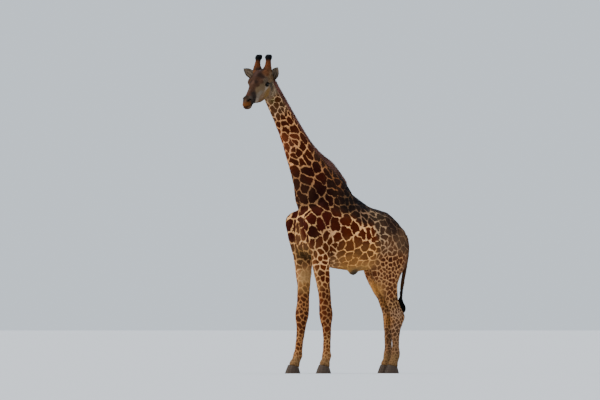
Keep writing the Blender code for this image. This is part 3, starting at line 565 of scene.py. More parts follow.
BODY_PLACES = (
    # neck, from the head down: side, then front, then beside the mane
    ((0.17, -0.98, 4.45), DOWN_NECK, 0.130, 1.45, 0.018, 1.00, "upper_neck", 16),
    ((0.00, -1.06, 4.30), DOWN_NECK, 0.130, 1.45, 0.018, 0.95, "upper_neck", 16),
    ((0.13, -0.74, 4.05), DOWN_NECK, 0.146, 1.50, 0.022, 1.00, "neck", 18),
    ((0.12, -0.45, 3.60), DOWN_NECK, 0.160, 1.50, 0.023, 1.00, "neck", 18),
    ((0.00, -0.75, 3.75), DOWN_NECK, 0.142, 1.45, 0.022, 0.95, "neck_front", 18),
    ((0.15, -0.20, 3.25), DOWN_NECK, 0.172, 1.50, 0.024, 1.00, "lower_neck", 20),
    ((0.10, 0.00, 3.55), DOWN_NECK, 0.146, 1.50, 0.020, 0.92, "beside_mane", 20),
    ((0.20, -0.10, 2.90), DOWN_NECK, 0.190, 1.35, 0.024, 1.00, "neck_root", 20),
    ((0.15, 0.18, 3.10), DOWN_NECK, 0.145, 1.40, 0.020, 0.95, "beside_mane", 22),
    ((0.00, -0.42, 2.95), DOWN_NECK, 0.150, 1.35, 0.024, 0.95, "neck_root", 20),
    # withers and back
    ((0.05, 0.40, 3.08), BACK, 0.130, 1.10, 0.016, 0.85, "withers", 24),
    ((0.20, 0.42, 2.78), BACK, 0.170, 0.95, 0.020, 0.95, "below_withers", 20),
    ((0.12, 0.72, 2.78), BACK, 0.150, 0.95, 0.017, 0.88, "withers", 20),
    ((0.28, 0.66, 2.58), BACK, 0.175, 0.90, 0.021, 0.97, "upper_flank", 18),
    ((0.05, 1.02, 2.66), BACK, 0.120, 0.95, 0.015, 0.80, "loin", 20),
    ((0.24, 0.98, 2.60), BACK, 0.135, 0.95, 0.018, 0.92, "hip", 18),
    # shoulder, chest and flank
    ((0.30, -0.18, 2.45), BACK, 0.250, 0.95, 0.025, 1.00, "shoulder", 18),
    ((0.33, 0.10, 2.35), BACK, 0.235, 0.90, 0.025, 1.00, "flank_front", 18),
    ((0.34, -0.05, 2.05), (0, 0.5, -1), 0.170, 1.00, 0.025, 1.00, "elbow", 18),
    ((0.20, -0.44, 2.30), DOWN, 0.190, 1.20, 0.022, 1.00, "breast", 20),
    ((0.22, -0.46, 2.52), DOWN, 0.200, 1.20, 0.026, 1.00, "breast", 20),
    ((0.00, -0.46, 2.20), DOWN, 0.165, 1.20, 0.022, 0.90, "breast", 24),
    # under the chest: the tones here hold painted shade
    ((0.00, -0.30, 1.90), DOWN, 0.125, 1.20, 0.022, 0.78, "brisket_under_painted_shade", 24),
    ((0.38, 0.40, 2.35), BACK, 0.200, 0.85, 0.024, 1.00, "flank", 18),
    ((0.38, 0.70, 2.25), BACK, 0.190, 0.85, 0.024, 1.00, "flank", 18),
    ((0.38, 0.35, 2.05), BACK, 0.160, 0.90, 0.022, 0.95, "low_flank", 18),
    ((0.37, 0.70, 1.98), BACK, 0.150, 0.90, 0.021, 0.92, "low_flank", 18),
    ((0.30, 0.45, 1.78), BACK, 0.130, 1.00, 0.018, 0.80, "belly_side", 20),
    ((0.00, 0.45, 1.67), (0, 1, 0), 0.135, 1.00, 0.016, 0.60, "belly", 22),
    ((0.00, 0.66, 1.60), (0, 1, -0.5), 0.100, 1.00, 0.018, 0.00, "sheath", 14),
    ((0.00, 0.80, 1.72), (0, 1, 0), 0.120, 1.00, 0.016, 0.50, "belly", 22),
    ((0.00, 0.10, 1.68), (0, 1, 0), 0.130, 1.00, 0.017, 0.80, "belly_front", 22),
    # rump and thigh
    ((0.30, 0.98, 2.30), BACK, 0.160, 0.90, 0.020, 0.95, "haunch", 18),
    ((0.28, 1.22, 2.42), DOWN, 0.140, 1.05, 0.018, 0.88, "rump", 18),
    ((0.05, 1.35, 2.52), DOWN, 0.130, 1.05, 0.017, 0.88, "croup", 20),
    ((0.28, 1.40, 2.15), DOWN, 0.120, 1.10, 0.018, 0.78, "buttock", 18),
    ((0.05, 1.62, 2.15), DOWN, 0.100, 1.15, 0.017, 0.75, "under_tail", 18),
    ((0.33, 1.12, 2.05), DOWN, 0.120, 1.05, 0.020, 0.88, "upper_thigh", 18),
    ((0.33, 1.12, 1.82), DOWN, 0.098, 1.10, 0.020, 0.97, "thigh", 16),
    ((0.33, 1.32, 1.75), DOWN, 0.085, 1.15, 0.019, 0.95, "thigh", 16),
    ((0.30, 1.20, 1.55), DOWN, 0.072, 1.10, 0.018, 0.95, "thigh", 15),
    ((0.20, 1.52, 1.75), DOWN, 0.075, 1.15, 0.017, 0.85, "thigh_back", 16),
    ((0.27, 1.26, 1.32), DOWN, 0.072, 1.10, 0.017, 0.92, "thigh", 14),
    ((0.26, 1.32, 1.15), DOWN, 0.067, 1.10, 0.017, 0.95, "gaskin", 12),
    ((0.25, 1.38, 0.98), DOWN, 0.062, 1.10, 0.017, 0.92, "hock", 11),
    ((0.24, 1.38, 0.75), DOWN, 0.058, 1.10, 0.017, 0.90, "hock", 9),
    ((0.24, 1.37, 0.45), DOWN, 0.055, 1.10, 0.018, 0.85, "hind_cannon", 9),
    ((0.24, 1.33, 0.18), DOWN, 0.045, 1.10, 0.018, 0.60, "pastern", 9),
    ((0.06, 1.05, 1.80), DOWN, 0.060, 1.10, 0.020, 0.05, "inner_thigh", 16),
    ((0.06, 1.22, 1.50), DOWN, 0.060, 1.10, 0.020, 0.20, "inner_thigh", 14),
    ((0.05, 0.88, 1.50), DOWN, 0.060, 1.10, 0.020, 0.08, "inner_thigh", 14),
    ((0.06, 0.99, 1.33), DOWN, 0.060, 1.10, 0.020, 0.15, "inner_thigh", 14),
    ((0.11, 1.30, 1.20), DOWN, 0.062, 1.10, 0.020, 0.80, "inner_gaskin", 12),
    ((0.12, 1.38, 0.85), DOWN, 0.058, 1.10, 0.020, 0.85, "inner_gaskin", 9),
    ((0.18, 0.98, 1.62), DOWN, 0.075, 1.10, 0.019, 0.92, "thigh", 15),
    # foreleg, outer side then inner
    ((0.33, -0.13, 1.80), DOWN, 0.120, 1.05, 0.024, 1.00, "forearm_top", 16),
    ((0.35, -0.13, 1.55), DOWN, 0.088, 1.10, 0.021, 1.00, "forearm", 14),
    ((0.34, -0.11, 1.25), DOWN, 0.080, 1.10, 0.019, 0.97, "knee", 12),
    ((0.34, -0.07, 1.00), DOWN, 0.078, 1.10, 0.019, 0.95, "knee", 11),
    ((0.33, -0.06, 0.80), DOWN, 0.076, 1.10, 0.019, 0.95, "knee", 10),
    ((0.31, -0.05, 0.55), DOWN, 0.068, 1.10, 0.020, 0.95, "fore_cannon", 9),
    ((0.31, -0.05, 0.30), DOWN, 0.062, 1.10, 0.020, 0.85, "fore_cannon", 9),
    ((0.25, -0.12, 0.17), DOWN, 0.050, 1.10, 0.018, 0.50, "pastern", 9),
    ((0.13, -0.13, 1.55), DOWN, 0.075, 1.10, 0.024, 0.25, "inner_forearm", 14),
    ((0.15, -0.12, 1.40), DOWN, 0.080, 1.10, 0.022, 0.62, "above_knee", 13),
    ((0.14, -0.11, 1.20), DOWN, 0.078, 1.10, 0.022, 0.88, "inner_knee", 12),
    ((0.15, -0.07, 0.90), DOWN, 0.074, 1.10, 0.020, 0.92, "inner_knee", 10),
    ((0.18, -0.05, 0.50), DOWN, 0.064, 1.10, 0.020, 0.92, "inner_knee", 9),
    # tail
    ((0.00, 1.70, 2.10), DOWN, 0.060, 1.30, 0.015, 0.70, "tail_root", 14),
    ((0.00, 1.68, 1.60), DOWN, 0.045, 1.40, 0.013, 0.45, "tail", 18),
    ((0.00, 1.60, 1.25), DOWN, 0.040, 1.40, 0.013, 0.20, "tail_end", 30),
)
# The face, in the head's frame: ahead, aside, up.
UP_FACE, BACK_FACE = (-1.0, 0.0, 0.1), (-1.0, 0.15, -0.25)
FACE_PLACES = (
    # forehead and bridge
    ((-0.12, 0.00, 0.16), UP_FACE, 0.050, 1.0, 0.010, 0.00, "forehead", 10),
    ((-0.04, 0.00, 0.16), UP_FACE, 0.050, 1.0, 0.010, 0.00, "forehead", 10),
    ((-0.04, 0.06, 0.15), UP_FACE, 0.050, 1.0, 0.010, 0.00, "forehead_side", 10),
    ((-0.04, 0.11, 0.10), UP_FACE, 0.050, 1.0, 0.010, 0.00, "forehead_side", 10),
    ((0.03, 0.07, 0.11), UP_FACE, 0.050, 1.0, 0.010, 0.00, "bridge", 9),
    ((0.05, 0.12, 0.08), UP_FACE, 0.040, 1.0, 0.010, 0.00, "bridge", 8),
    ((0.09, 0.05, 0.10), UP_FACE, 0.050, 1.0, 0.010, 0.00, "forehead_side", 9),
    ((0.12, 0.00, 0.10), UP_FACE, 0.050, 1.0, 0.010, 0.00, "bridge_top", 9),
    ((0.15, 0.04, 0.09), UP_FACE, 0.050, 1.0, 0.010, 0.00, "bridge", 9),
    ((0.12, 0.08, 0.06), UP_FACE, 0.040, 1.0, 0.010, 0.00, "bridge", 8),
    ((0.22, 0.03, 0.07), UP_FACE, 0.050, 1.0, 0.010, 0.00, "bridge", 8),
    ((0.28, 0.04, 0.06), UP_FACE, 0.050, 1.0, 0.010, 0.00, "bridge", 8),
    ((0.29, 0.00, 0.08), UP_FACE, 0.050, 1.0, 0.010, 0.00, "bridge_top", 8),
    ((-0.20, 0.04, 0.12), UP_FACE, 0.050, 1.0, 0.010, 0.00, "crown", 12),
    # round the eye and the horns feet
    ((0.00, 0.17, 0.05), BACK_FACE, 0.035, 1.0, 0.010, 0.35, "brow", 8),
    ((-0.08, 0.16, 0.03), BACK_FACE, 0.035, 1.0, 0.010, 0.60, "brow", 9),
    ((-0.12, 0.15, 0.03), BACK_FACE, 0.035, 1.0, 0.010, 0.55, "temple", 10),
    ((-0.17, 0.13, -0.07), BACK_FACE, 0.035, 1.0, 0.010, 0.45, "temple", 11),
    ((-0.14, 0.14, 0.06), UP_FACE, 0.040, 1.0, 0.010, 0.20, "horn_foot", 11),
    ((-0.16, 0.11, 0.11), UP_FACE, 0.040, 1.0, 0.010, 0.00, "horn_foot", 12),
    ((-0.18, 0.15, 0.01), UP_FACE, 0.040, 1.0, 0.010, 0.30, "temple", 11),
    ((-0.15, 0.11, -0.15), BACK_FACE, 0.040, 1.0, 0.010, 0.20, "behind_eye", 10),
    ((0.06, 0.13, -0.01), BACK_FACE, 0.035, 1.0, 0.010, 0.00, "upper_cheek", 7),
    ((0.00, 0.13, -0.10), BACK_FACE, 0.035, 1.0, 0.010, 0.00, "under_eye", 7),
    # cheek and jaw
    ((0.09, 0.12, 0.01), BACK_FACE, 0.040, 1.0, 0.010, 0.00, "upper_cheek", 7),
    ((0.08, 0.13, -0.04), BACK_FACE, 0.040, 1.0, 0.010, 0.00, "upper_cheek", 7),
    ((0.14, 0.10, 0.01), BACK_FACE, 0.040, 1.0, 0.010, 0.00, "upper_cheek", 7),
    ((0.18, 0.09, 0.00), BACK_FACE, 0.040, 1.0, 0.010, 0.00, "upper_cheek", 7),
    ((0.17, 0.10, -0.07), BACK_FACE, 0.040, 1.0, 0.010, 0.25, "cheek", 8),
    ((0.22, 0.08, -0.10), BACK_FACE, 0.040, 1.0, 0.010, 0.00, "cheek", 8),
    ((0.14, 0.07, -0.16), BACK_FACE, 0.040, 1.0, 0.010, 0.30, "jaw", 9),
    ((0.26, 0.05, -0.13), BACK_FACE, 0.040, 1.0, 0.010, 0.00, "under_eye", 8),
    ((0.17, 0.04, -0.22), BACK_FACE, 0.045, 1.0, 0.010, 0.20, "jaw_edge", 11),
    ((0.08, 0.04, -0.28), BACK_FACE, 0.045, 1.0, 0.010, 0.20, "jaw_edge", 12),
    ((-0.01, 0.12, -0.16), BACK_FACE, 0.045, 1.0, 0.010, 0.50, "jowl", 10),
    ((0.01, 0.10, -0.22), BACK_FACE, 0.045, 1.0, 0.010, 0.40, "jowl", 10),
    ((0.03, 0.06, -0.26), BACK_FACE, 0.045, 1.0, 0.010, 0.20, "jowl", 12),
    ((-0.05, 0.11, -0.24), BACK_FACE, 0.045, 1.0, 0.010, 0.50, "jaw", 11),
    ((-0.09, 0.06, -0.35), BACK_FACE, 0.050, 1.0, 0.010, 0.50, "jaw", 13),
    ((-0.16, 0.10, -0.23), BACK_FACE, 0.050, 1.0, 0.010, 0.30, "behind_jaw", 12),
    ((-0.24, 0.10, -0.26), BACK_FACE, 0.100, 1.0, 0.014, 0.75, "nape_side", 13),
    ((-0.18, 0.10, -0.31), BACK_FACE, 0.090, 1.0, 0.014, 0.60, "nape_side", 13),
    ((-0.12, 0.08, -0.33), BACK_FACE, 0.070, 1.0, 0.014, 0.60, "nape_side", 13),
    ((-0.10, 0.08, -0.42), BACK_FACE, 0.120, 1.0, 0.015, 0.95, "throat", 14),
    # muzzle, lips and chin
    ((0.29, 0.06, 0.03), UP_FACE, 0.040, 1.0, 0.010, 0.00, "muzzle", 6),
    ((0.32, 0.07, -0.03), UP_FACE, 0.040, 1.0, 0.010, 0.00, "muzzle", 6),
    ((0.35, 0.07, -0.07), UP_FACE, 0.040, 1.0, 0.010, 0.00, "muzzle", 6),
    ((0.36, 0.02, 0.06), UP_FACE, 0.040, 1.0, 0.010, 0.00, "muzzle_top", 6),
    ((0.42, 0.01, 0.05), UP_FACE, 0.040, 1.0, 0.010, 0.00, "nose", 5),
    ((0.39, 0.07, 0.02), UP_FACE, 0.040, 1.0, 0.010, 0.00, "nostril_rim", 5),
    ((0.47, 0.04, 0.02), UP_FACE, 0.040, 1.0, 0.010, 0.00, "nose", 5),
    ((0.49, 0.00, 0.02), UP_FACE, 0.040, 1.0, 0.010, 0.00, "lip_top", 5),
    ((0.50, 0.04, -0.01), UP_FACE, 0.040, 1.0, 0.010, 0.00, "lip", 5),
    ((0.53, 0.02, -0.03), UP_FACE, 0.040, 1.0, 0.010, 0.00, "lip", 5),
    ((0.50, 0.07, -0.05), UP_FACE, 0.040, 1.0, 0.010, 0.00, "lip", 5),
    ((0.55, 0.02, -0.07), UP_FACE, 0.040, 1.0, 0.010, 0.00, "lip_edge", 5),
    ((0.52, 0.05, -0.09), UP_FACE, 0.040, 1.0, 0.010, 0.00, "chin", 6),
    ((0.43, 0.07, -0.07), UP_FACE, 0.040, 1.0, 0.010, 0.00, "muzzle", 5),
    ((0.34, 0.06, -0.10), UP_FACE, 0.040, 1.0, 0.010, 0.00, "muzzle", 6),
    ((0.47, 0.03, -0.13), UP_FACE, 0.040, 1.0, 0.010, 0.00, "chin", 7),
)


def pigment(code):
    """The depth of a hair's own pigment, from the colour that a bright day shows."""
    return [1.15 * part**1.5 for part in linear(code)]


class Coat:
    """The places of the coat as arrays, on both sides of the body."""

    def __init__(self):
        rows = []
        for (x, y, z), (lx, ly, lz), *rest in BODY_PLACES:
            for mirrored in (1, -1):
                rows.append(((x * mirrored, y, z), (lx * mirrored, ly, lz), 1.0, rest))
        for (a, b, c), (la, lb, lc), *rest in FACE_PLACES:
            for mirrored in (1, -1):
                where = from_head([(a, b * mirrored, c)])[0]
                lie = np.array([la, lb * mirrored, lc]) @ head_axes
                rows.append((where, lie, 0.30, rest))
        self.where = np.array([row[0] for row in rows])
        self.lie = np.array([row[1] for row in rows])
        self.lie /= np.linalg.norm(self.lie, axis=1)[:, None]
        self.reach = np.array([row[2] for row in rows])
        self.numbers, self.colours = [], []
        for _, _, _, (size, stretch, line, marked, zone, hair) in rows:
            patch, ground = TONES[zone]
            self.numbers.append((size, stretch, line, marked, hair / 1000))
            self.colours.append(pigment(patch) + pigment(ground))
        self.numbers, self.colours = np.array(self.numbers), np.array(self.colours)

    def at(self, points):
        """Lie, numbers and colours at these places, blended from the nearest told places."""
        lie, numbers, colours = (np.zeros((len(points), n)) for n in (3, 5, 6))
        for start in range(0, len(points), 20000):
            part = slice(start, start + 20000)
            gap = np.linalg.norm(points[part, None] - self.where[None], axis=2) / self.reach ** 0.35
            weight = 1 / (gap + 0.01) ** 5
            weight /= weight.sum(axis=1)[:, None]
            lie[part] = weight @ self.lie
            numbers[part] = weight @ self.numbers
            colours[part] = weight @ self.colours
        return lie, numbers, colours


coat = Coat()

# ---------------------------------------------------------------------------------------------------
# Ears: cupped leaves of gristle under thin hide, part of the one skin. Each grows from the back of the
# skull in the place of its solid, thick at the root, with two ridges inside the cup.
# ---------------------------------------------------------------------------------------------------
EARS = {  # each root in the head's frame, then its tip's reach: sideways, forwards and upwards
    "left": ((-0.235, 0.122, -0.105), (0.155, 0.087, 0.186)),
    "right": ((-0.195, 0.122, -0.055), (0.207, 0.086, 0.156)),
}
EAR_HALF_WIDTHS = (0.040, 0.053, 0.064, 0.071, 0.073, 0.069, 0.057, 0.035, 0.005)
EAR_LONGER, EAR_WIDER = 1.02, 1.07  # the leaf with its hair stands a little past the solid
EAR_CUP = 0.034
EAR_RIDGE, RIDGE_WAVE = 0.0032, 9.5  # height of the ridges inside the cup, and how close they stand
EAR_ROWS, EAR_COLUMNS = 44, 26
ear_points, ear_faces, ear_inside, ear_lie = [], [], [], []
level_axes = np.array([level_ahead, leftwards, (0, 0, 1)])
for side, mirrored in SIDES.items():
    (x, y, z), (sideways_reach, forward_reach, upward_reach) = EARS[side]
    root = from_head([(x, y * mirrored, z)])[0]
    reach = np.array([forward_reach, sideways_reach * mirrored, upward_reach]) @ level_axes
    along = reach / np.linalg.norm(reach)
    facing = np.array([1.0, 0.25 * mirrored, 0.1]) @ level_axes
    facing -= along * (facing @ along)
    facing /= np.linalg.norm(facing)
    across = np.cross(along, facing)
    first = sum(len(part) for part in ear_points)
    sheets = []
    for layer in (1, -1):
        sheet = np.zeros((EAR_ROWS + 1, EAR_COLUMNS + 1, 3))
        for i in range(EAR_ROWS + 1):
            up = i / EAR_ROWS
            width = np.interp(up * (len(EAR_HALF_WIDTHS) - 1), range(len(EAR_HALF_WIDTHS)), EAR_HALF_WIDTHS)
            cup = EAR_CUP * width / max(EAR_HALF_WIDTHS) * (1.25 - 0.35 * up)
            turn = np.linspace(-1, 1, EAR_COLUMNS + 1)
            rolled = turn * (1 - 0.10 * turn * turn * (1 - up))
            depth = cup * (rolled * rolled - 0.6)
            thick = 0.0016 + 0.0024 * (1 - np.abs(turn) ** 3) * (1.2 - up)
            ridges = EAR_RIDGE * np.cos(turn * RIDGE_WAVE) * np.exp(-((turn / 0.55) ** 2)) * (1 - up)
            out = facing[None] - across[None] * (2 * cup * turn / width)[:, None] * 0.8
            out /= np.linalg.norm(out, axis=1)[:, None]
            sheet[i] = root + reach * up * EAR_LONGER + across * (width * EAR_WIDER * rolled)[:, None]
            sheet[i] += facing * depth[:, None]
            sheet[i] += out * (layer * thick + ridges * (layer > 0))[:, None]
        sheets.append(sheet.reshape(-1, 3))
    row = EAR_COLUMNS + 1
    per_sheet = (EAR_ROWS + 1) * row
    for layer in (0, 1):
        for i in range(EAR_ROWS):
            for j in range(EAR_COLUMNS):
                corner = first + layer * per_sheet + i * row + j
                face = (corner, corner + 1, corner + row + 1, corner + row)
                ear_faces.append(face if (layer == 0) else face[::-1])
    rim = [(0, j) for j in range(row)] + [(i, row - 1) for i in range(1, EAR_ROWS + 1)]
    rim += [(EAR_ROWS, j) for j in reversed(range(row - 1))] + [(i, 0) for i in reversed(range(1, EAR_ROWS))]
    for (i, j), (k, m) in zip(rim, rim[1:] + rim[:1]):
        a, b = first + i * row + j, first + k * row + m
        ear_faces.append((a, a + per_sheet, b + per_sheet, b))
    ear_points += sheets
    ear_inside += [np.ones(per_sheet), np.zeros(per_sheet)]
    ear_lie.append(np.tile(along, (2 * per_sheet, 1)))

ear_points = np.concatenate(ear_points)
ear_inside = np.concatenate(ear_inside)
ear_lie = np.concatenate(ear_lie)

# The shoulder's point runs up into the neck without a ledge.
SHOULDER_LEDGE, LEDGE_REACH, LEDGE_ROUNDS = (0.235, -0.355, 2.665), 0.150, 60
SHOULDER_POINT, POINT_REACH, POINT_RISE = (0.25, -0.42, 2.45), 0.14, 0.020
pairs = np.array([(e.verts[0].index, e.verts[1].index) for e in form.edges])
count = np.maximum(np.bincount(pairs.ravel(), minlength=len(points)), 1)
from_ledge = np.linalg.norm((points - np.array(SHOULDER_LEDGE)) * [0, 1, 1], axis=1)
from_ledge += 9 * (np.abs(points[:, 0]) < 0.10)
soft = (0.5 * np.clip((LEDGE_REACH - from_ledge) / 0.06, 0, 1))[:, None]
for _ in range(LEDGE_ROUNDS):
    points = points + (neighbour_mean(points, pairs, count) - points) * soft
write_points(form, points)
folded = np.abs(points) * [1, 0, 0] + points * [0, 1, 1]
from_point = np.linalg.norm(folded - np.array(SHOULDER_POINT), axis=1)
points += read_normals(form) * (POINT_RISE * np.exp(-((from_point / POINT_REACH) ** 2)))[:, None]

# The skin is drawn in by the coat's depth: a little on the face and feet, more where the hair is long.
lie, numbers, colours = coat.at(square_up(points))
write_points(form, points)
normals = read_normals(form)
hair_length = numbers[:, 4]
COAT_DEPTH_SHARE = 0.10
points -= normals * (hair_length * COAT_DEPTH_SHARE)[:, None]
write_points(form, points)
body_mesh = bpy.data.meshes.new("skin")
form.to_mesh(body_mesh)
body_count = len(body_mesh.vertices)
body_faces = [tuple(p.vertices) for p in body_mesh.polygons]
all_points = np.concatenate([points, ear_points])
all_faces = body_faces + [tuple(i + body_count for i in face) for face in ear_faces]
SKIN_STANDS_FOR = [name for name in FLESH if not name.startswith("eye")] + ["ear_left", "ear_right"]
skin = new_piece("skin", all_points.tolist(), all_faces, SKIN_STANDS_FOR)
oriented = bmesh.new()
oriented.from_mesh(skin.data)
bmesh.ops.recalc_face_normals(oriented, faces=oriented.faces)
oriented.to_mesh(skin.data)
oriented.free()
skin.data.shade_smooth()
points, triangles = as_arrays(skin.data)
normals = np.array([n.vector[:] for n in skin.data.vertex_normals])
ears_at = np.arange(len(points)) >= body_count

# ---------------------------------------------------------------------------------------------------
# Markings: liver-brown patches parted by pale lines, as in the hide of every giraffe. Patch middles are
# strewn over the skin at the told size, evened out, and each point of the skin is told how far it lies
# from its patch's edge. The shader turns that distance into a crisp, slightly ragged border.
# ---------------------------------------------------------------------------------------------------
squared = square_up(points)
lie, numbers, colours = coat.at(squared)
EAR_BACK, EAR_CUP_HAIR, EAR_EDGE = pigment("#7c644c"), pigment("#8c8072"), pigment("#54483c")
ear_turn = np.tile(np.repeat(np.linspace(-1, 1, EAR_COLUMNS + 1)[None], EAR_ROWS + 1, 0).ravel(), 4)
ear_up = np.tile(np.repeat(np.linspace(0, 1, EAR_ROWS + 1), EAR_COLUMNS + 1), 4)
towards_edge = np.abs(ear_turn) - 0.70 + 0.9 * np.clip(ear_up - 0.72, 0, 1)
edge_share = np.clip(towards_edge / 0.20, 0, 1)[:, None] * 0.85
shadowed = 0.22 + 0.78 * np.clip(ear_up * 1.5 + 0.35 * np.cos(ear_turn * RIDGE_WAVE), 0, 1)[:, None]
deep = np.array(EAR_CUP_HAIR) * shadowed * (1 - edge_share) + np.array(EAR_EDGE) * edge_share
tip_share = np.clip((ear_up - 0.80) / 0.15, 0, 1)[:, None] * 0.75
outer = np.array(EAR_BACK)[None] * (1 - tip_share) + np.array(pigment("#4a3a30")) * tip_share
ear_colour = np.where(ear_inside[:, None] > 0, deep, outer)
flow = lie / np.linalg.norm(lie, axis=1)[:, None]
lie[ears_at] = ear_lie
numbers[ears_at] = (0.05, 1.0, 0.01, 0.0, 0.010)
colours[ears_at] = np.concatenate([ear_colour, ear_colour], axis=1)
lie -= normals * (lie * normals).sum(axis=1)[:, None]
lie /= np.maximum(np.linalg.norm(lie, axis=1), 1e-6)[:, None]
size, stretch, line, marked, hair_length = numbers.T

first_edge, second_edge = (points[triangles[:, k]] - points[triangles[:, 0]] for k in (1, 2))
corner_area = np.linalg.norm(np.cross(first_edge, second_edge), axis=1)
area = np.bincount(triangles.ravel(), np.repeat(corner_area / 6, 3), len(points))
LINE_SHARE = 0.80  # the line as drawn, for the round corners widen it again
PATCH_FILL = 0.92  # a patch's area as a share of its told size squared
crowding = area * ~ears_at / (size * size * PATCH_FILL)
patch_total = int(crowding.sum())
middles = rng.choice(len(points), patch_total, replace=False, p=crowding / crowding.sum())


def nearest_middles(where, chosen, middles, few):
    """The few nearest patch middles of each chosen skin point, and the gaps to them along the skin."""
    tree = KDTree(len(middles))
    for i, place in enumerate(points[middles].tolist()):
        tree.insert(place, i)
    tree.balance()
    order = np.array([[hit[1] for hit in tree.find_n(place, few)] for place in where.tolist()])
    way = where[:, None] - points[middles[order]]
    along_hair = (way * flow[chosen][:, None]).sum(axis=2)
    pull = stretch[chosen][:, None]
    gap = np.sqrt(((way * way).sum(axis=2) - along_hair**2) * pull + along_hair**2 / pull)
    rank = gap.argsort(axis=1)
    return np.take_along_axis(order, rank, axis=1), np.take_along_axis(gap, rank, axis=1)


SAMPLES, EVENING_ROUNDS = 24000, 5
sample = rng.choice(len(points), SAMPLES, replace=False, p=crowding / crowding.sum())
sample_tree = KDTree(SAMPLES)
for i, spot in enumerate(points[sample].tolist()):
    sample_tree.insert(spot, i)
sample_tree.balance()
for _ in range(EVENING_ROUNDS):
    nearest = nearest_middles(points[sample], sample, middles, 8)[0][:, 0]
    count = np.bincount(nearest, minlength=patch_total)
    centres = np.column_stack([np.bincount(nearest, points[sample, k], patch_total) for k in range(3)])
    centres /= np.maximum(count, 1)[:, None]
    evened = np.array([sample[sample_tree.find(centre)[1]] for centre in centres.tolist()])
    middles = np.where(count > 0, evened, middles)

ragged = points + np.column_stack([wobble(points, 0.11, 20 + k) for k in range(3)]) * (0.050 * size)[:, None]
ragged += np.column_stack([wobble(points, 0.035, 30 + k) for k in range(3)]) * (0.016 * size)[:, None]
order, near = nearest_middles(ragged, np.arange(len(points)), middles, 12)
own_patch = order[:, 0]
apart = np.linalg.norm(points[middles[order[:, 1:]]] - points[middles[order[:, :1]]], axis=2)
to_edges = (near[:, 1:] ** 2 - near[:, :1] ** 2) / (2 * np.maximum(apart, 0.25 * size[:, None]))
round_off = 0.024 * size[:, None]
border = -(round_off * np.log(np.exp(-to_edges / round_off).sum(axis=1, keepdims=True)))[:, 0]
border -= line * LINE_SHARE / 2
patch_tone = rng.normal(0, 0.13, patch_total)[own_patch] + wobble(points, 0.5, 41) * 0.05
patch_colour = colours[:, :3] * np.exp(patch_tone + 0.04 * wobble(points, 0.05, 42))[:, None]
ground_colour = colours[:, 3:] * np.exp(0.05 * wobble(points, 0.25, 43))[:, None]

# Dark lids and lashes' roots, widened into painted shade under the brow and lashes round each eye; painted
# shade in the slit of the nostril and along the parting of the lips.
LID_DARK_AND_SHADE = (-0.036, 0.150, -0.055)
LID_LENGTH, LID_HEIGHT = 0.068, 0.039
LID_OUTSIDE, LID_FADE = 1.16, 0.36  # where the dark ends, and over how much of the oval it fades
place = in_head(points)
for side, mirrored in SIDES.items():
    offset = place - np.array(LID_DARK_AND_SHADE) * [1, mirrored, 1]
    along_slit = offset[:, 0] * math.cos(ALMOND_TILT) - offset[:, 2] * math.sin(ALMOND_TILT)
    across_slit = offset[:, 2] * math.cos(ALMOND_TILT) + offset[:, 0] * math.sin(ALMOND_TILT)
    oval = np.sqrt((along_slit / LID_LENGTH) ** 2 + (across_slit / LID_HEIGHT) ** 2)
    oval += 9 * (np.abs(offset[:, 1]) > 0.06)
    # Real dark lid skin near the slit, painted shade of the brow and lashes farther out.
    dark = np.clip((LID_OUTSIDE - oval) / LID_FADE, 0, 1)[:, None] * (~ears_at)[:, None]
    ground_colour = ground_colour * (1 - dark) + np.array(pigment("#17100e")) * dark
    patch_colour = patch_colour * (1 - dark) + np.array(pigment("#1c1412")) * dark
on_side = (np.abs(place[:, 1]) > 0.02) & ~ears_at
inside_nostril = along_stroke(place[:, [0, 2]], NOSTRIL, 0.0085) * on_side * (place[:, 0] > 0.3)
inside_mouth = along_stroke(place[:, [0, 2]], FACE_STROKES[11][0], 0.0040) * (place[:, 0] > 0.28) * ~ears_at
# Painted shade: the nostril's slit and the parting of the lips are darkened.
for share, code in ((inside_nostril, "#0c0908"), (inside_mouth * 0.6, "#2a1c16")):
    felt = np.clip(share * 1.5, 0, 1)[:, None]
    ground_colour = ground_colour * (1 - felt) + np.array(pigment(code)) * felt
    patch_colour = patch_colour * (1 - felt) + np.array(pigment(code)) * felt
    marked = marked * (1 - felt[:, 0])


def carry(mesh, border, marked, patch, ground):
    """Stores the markings on a mesh's points, for the coat's material to read."""
    attribute = mesh.attributes.new("border", "FLOAT", "POINT")
    attribute.data.foreach_set("value", border.astype(np.float32))
    for name, colour, extra in (("patch", patch, marked), ("ground", ground, np.ones(len(ground)))):
        attribute = mesh.attributes.new(name, "FLOAT_COLOR", "POINT")
        attribute.data.foreach_set("color", np.column_stack([colour, extra]).astype(np.float32).ravel())


carry(skin.data, border, marked, patch_colour, ground_colour)


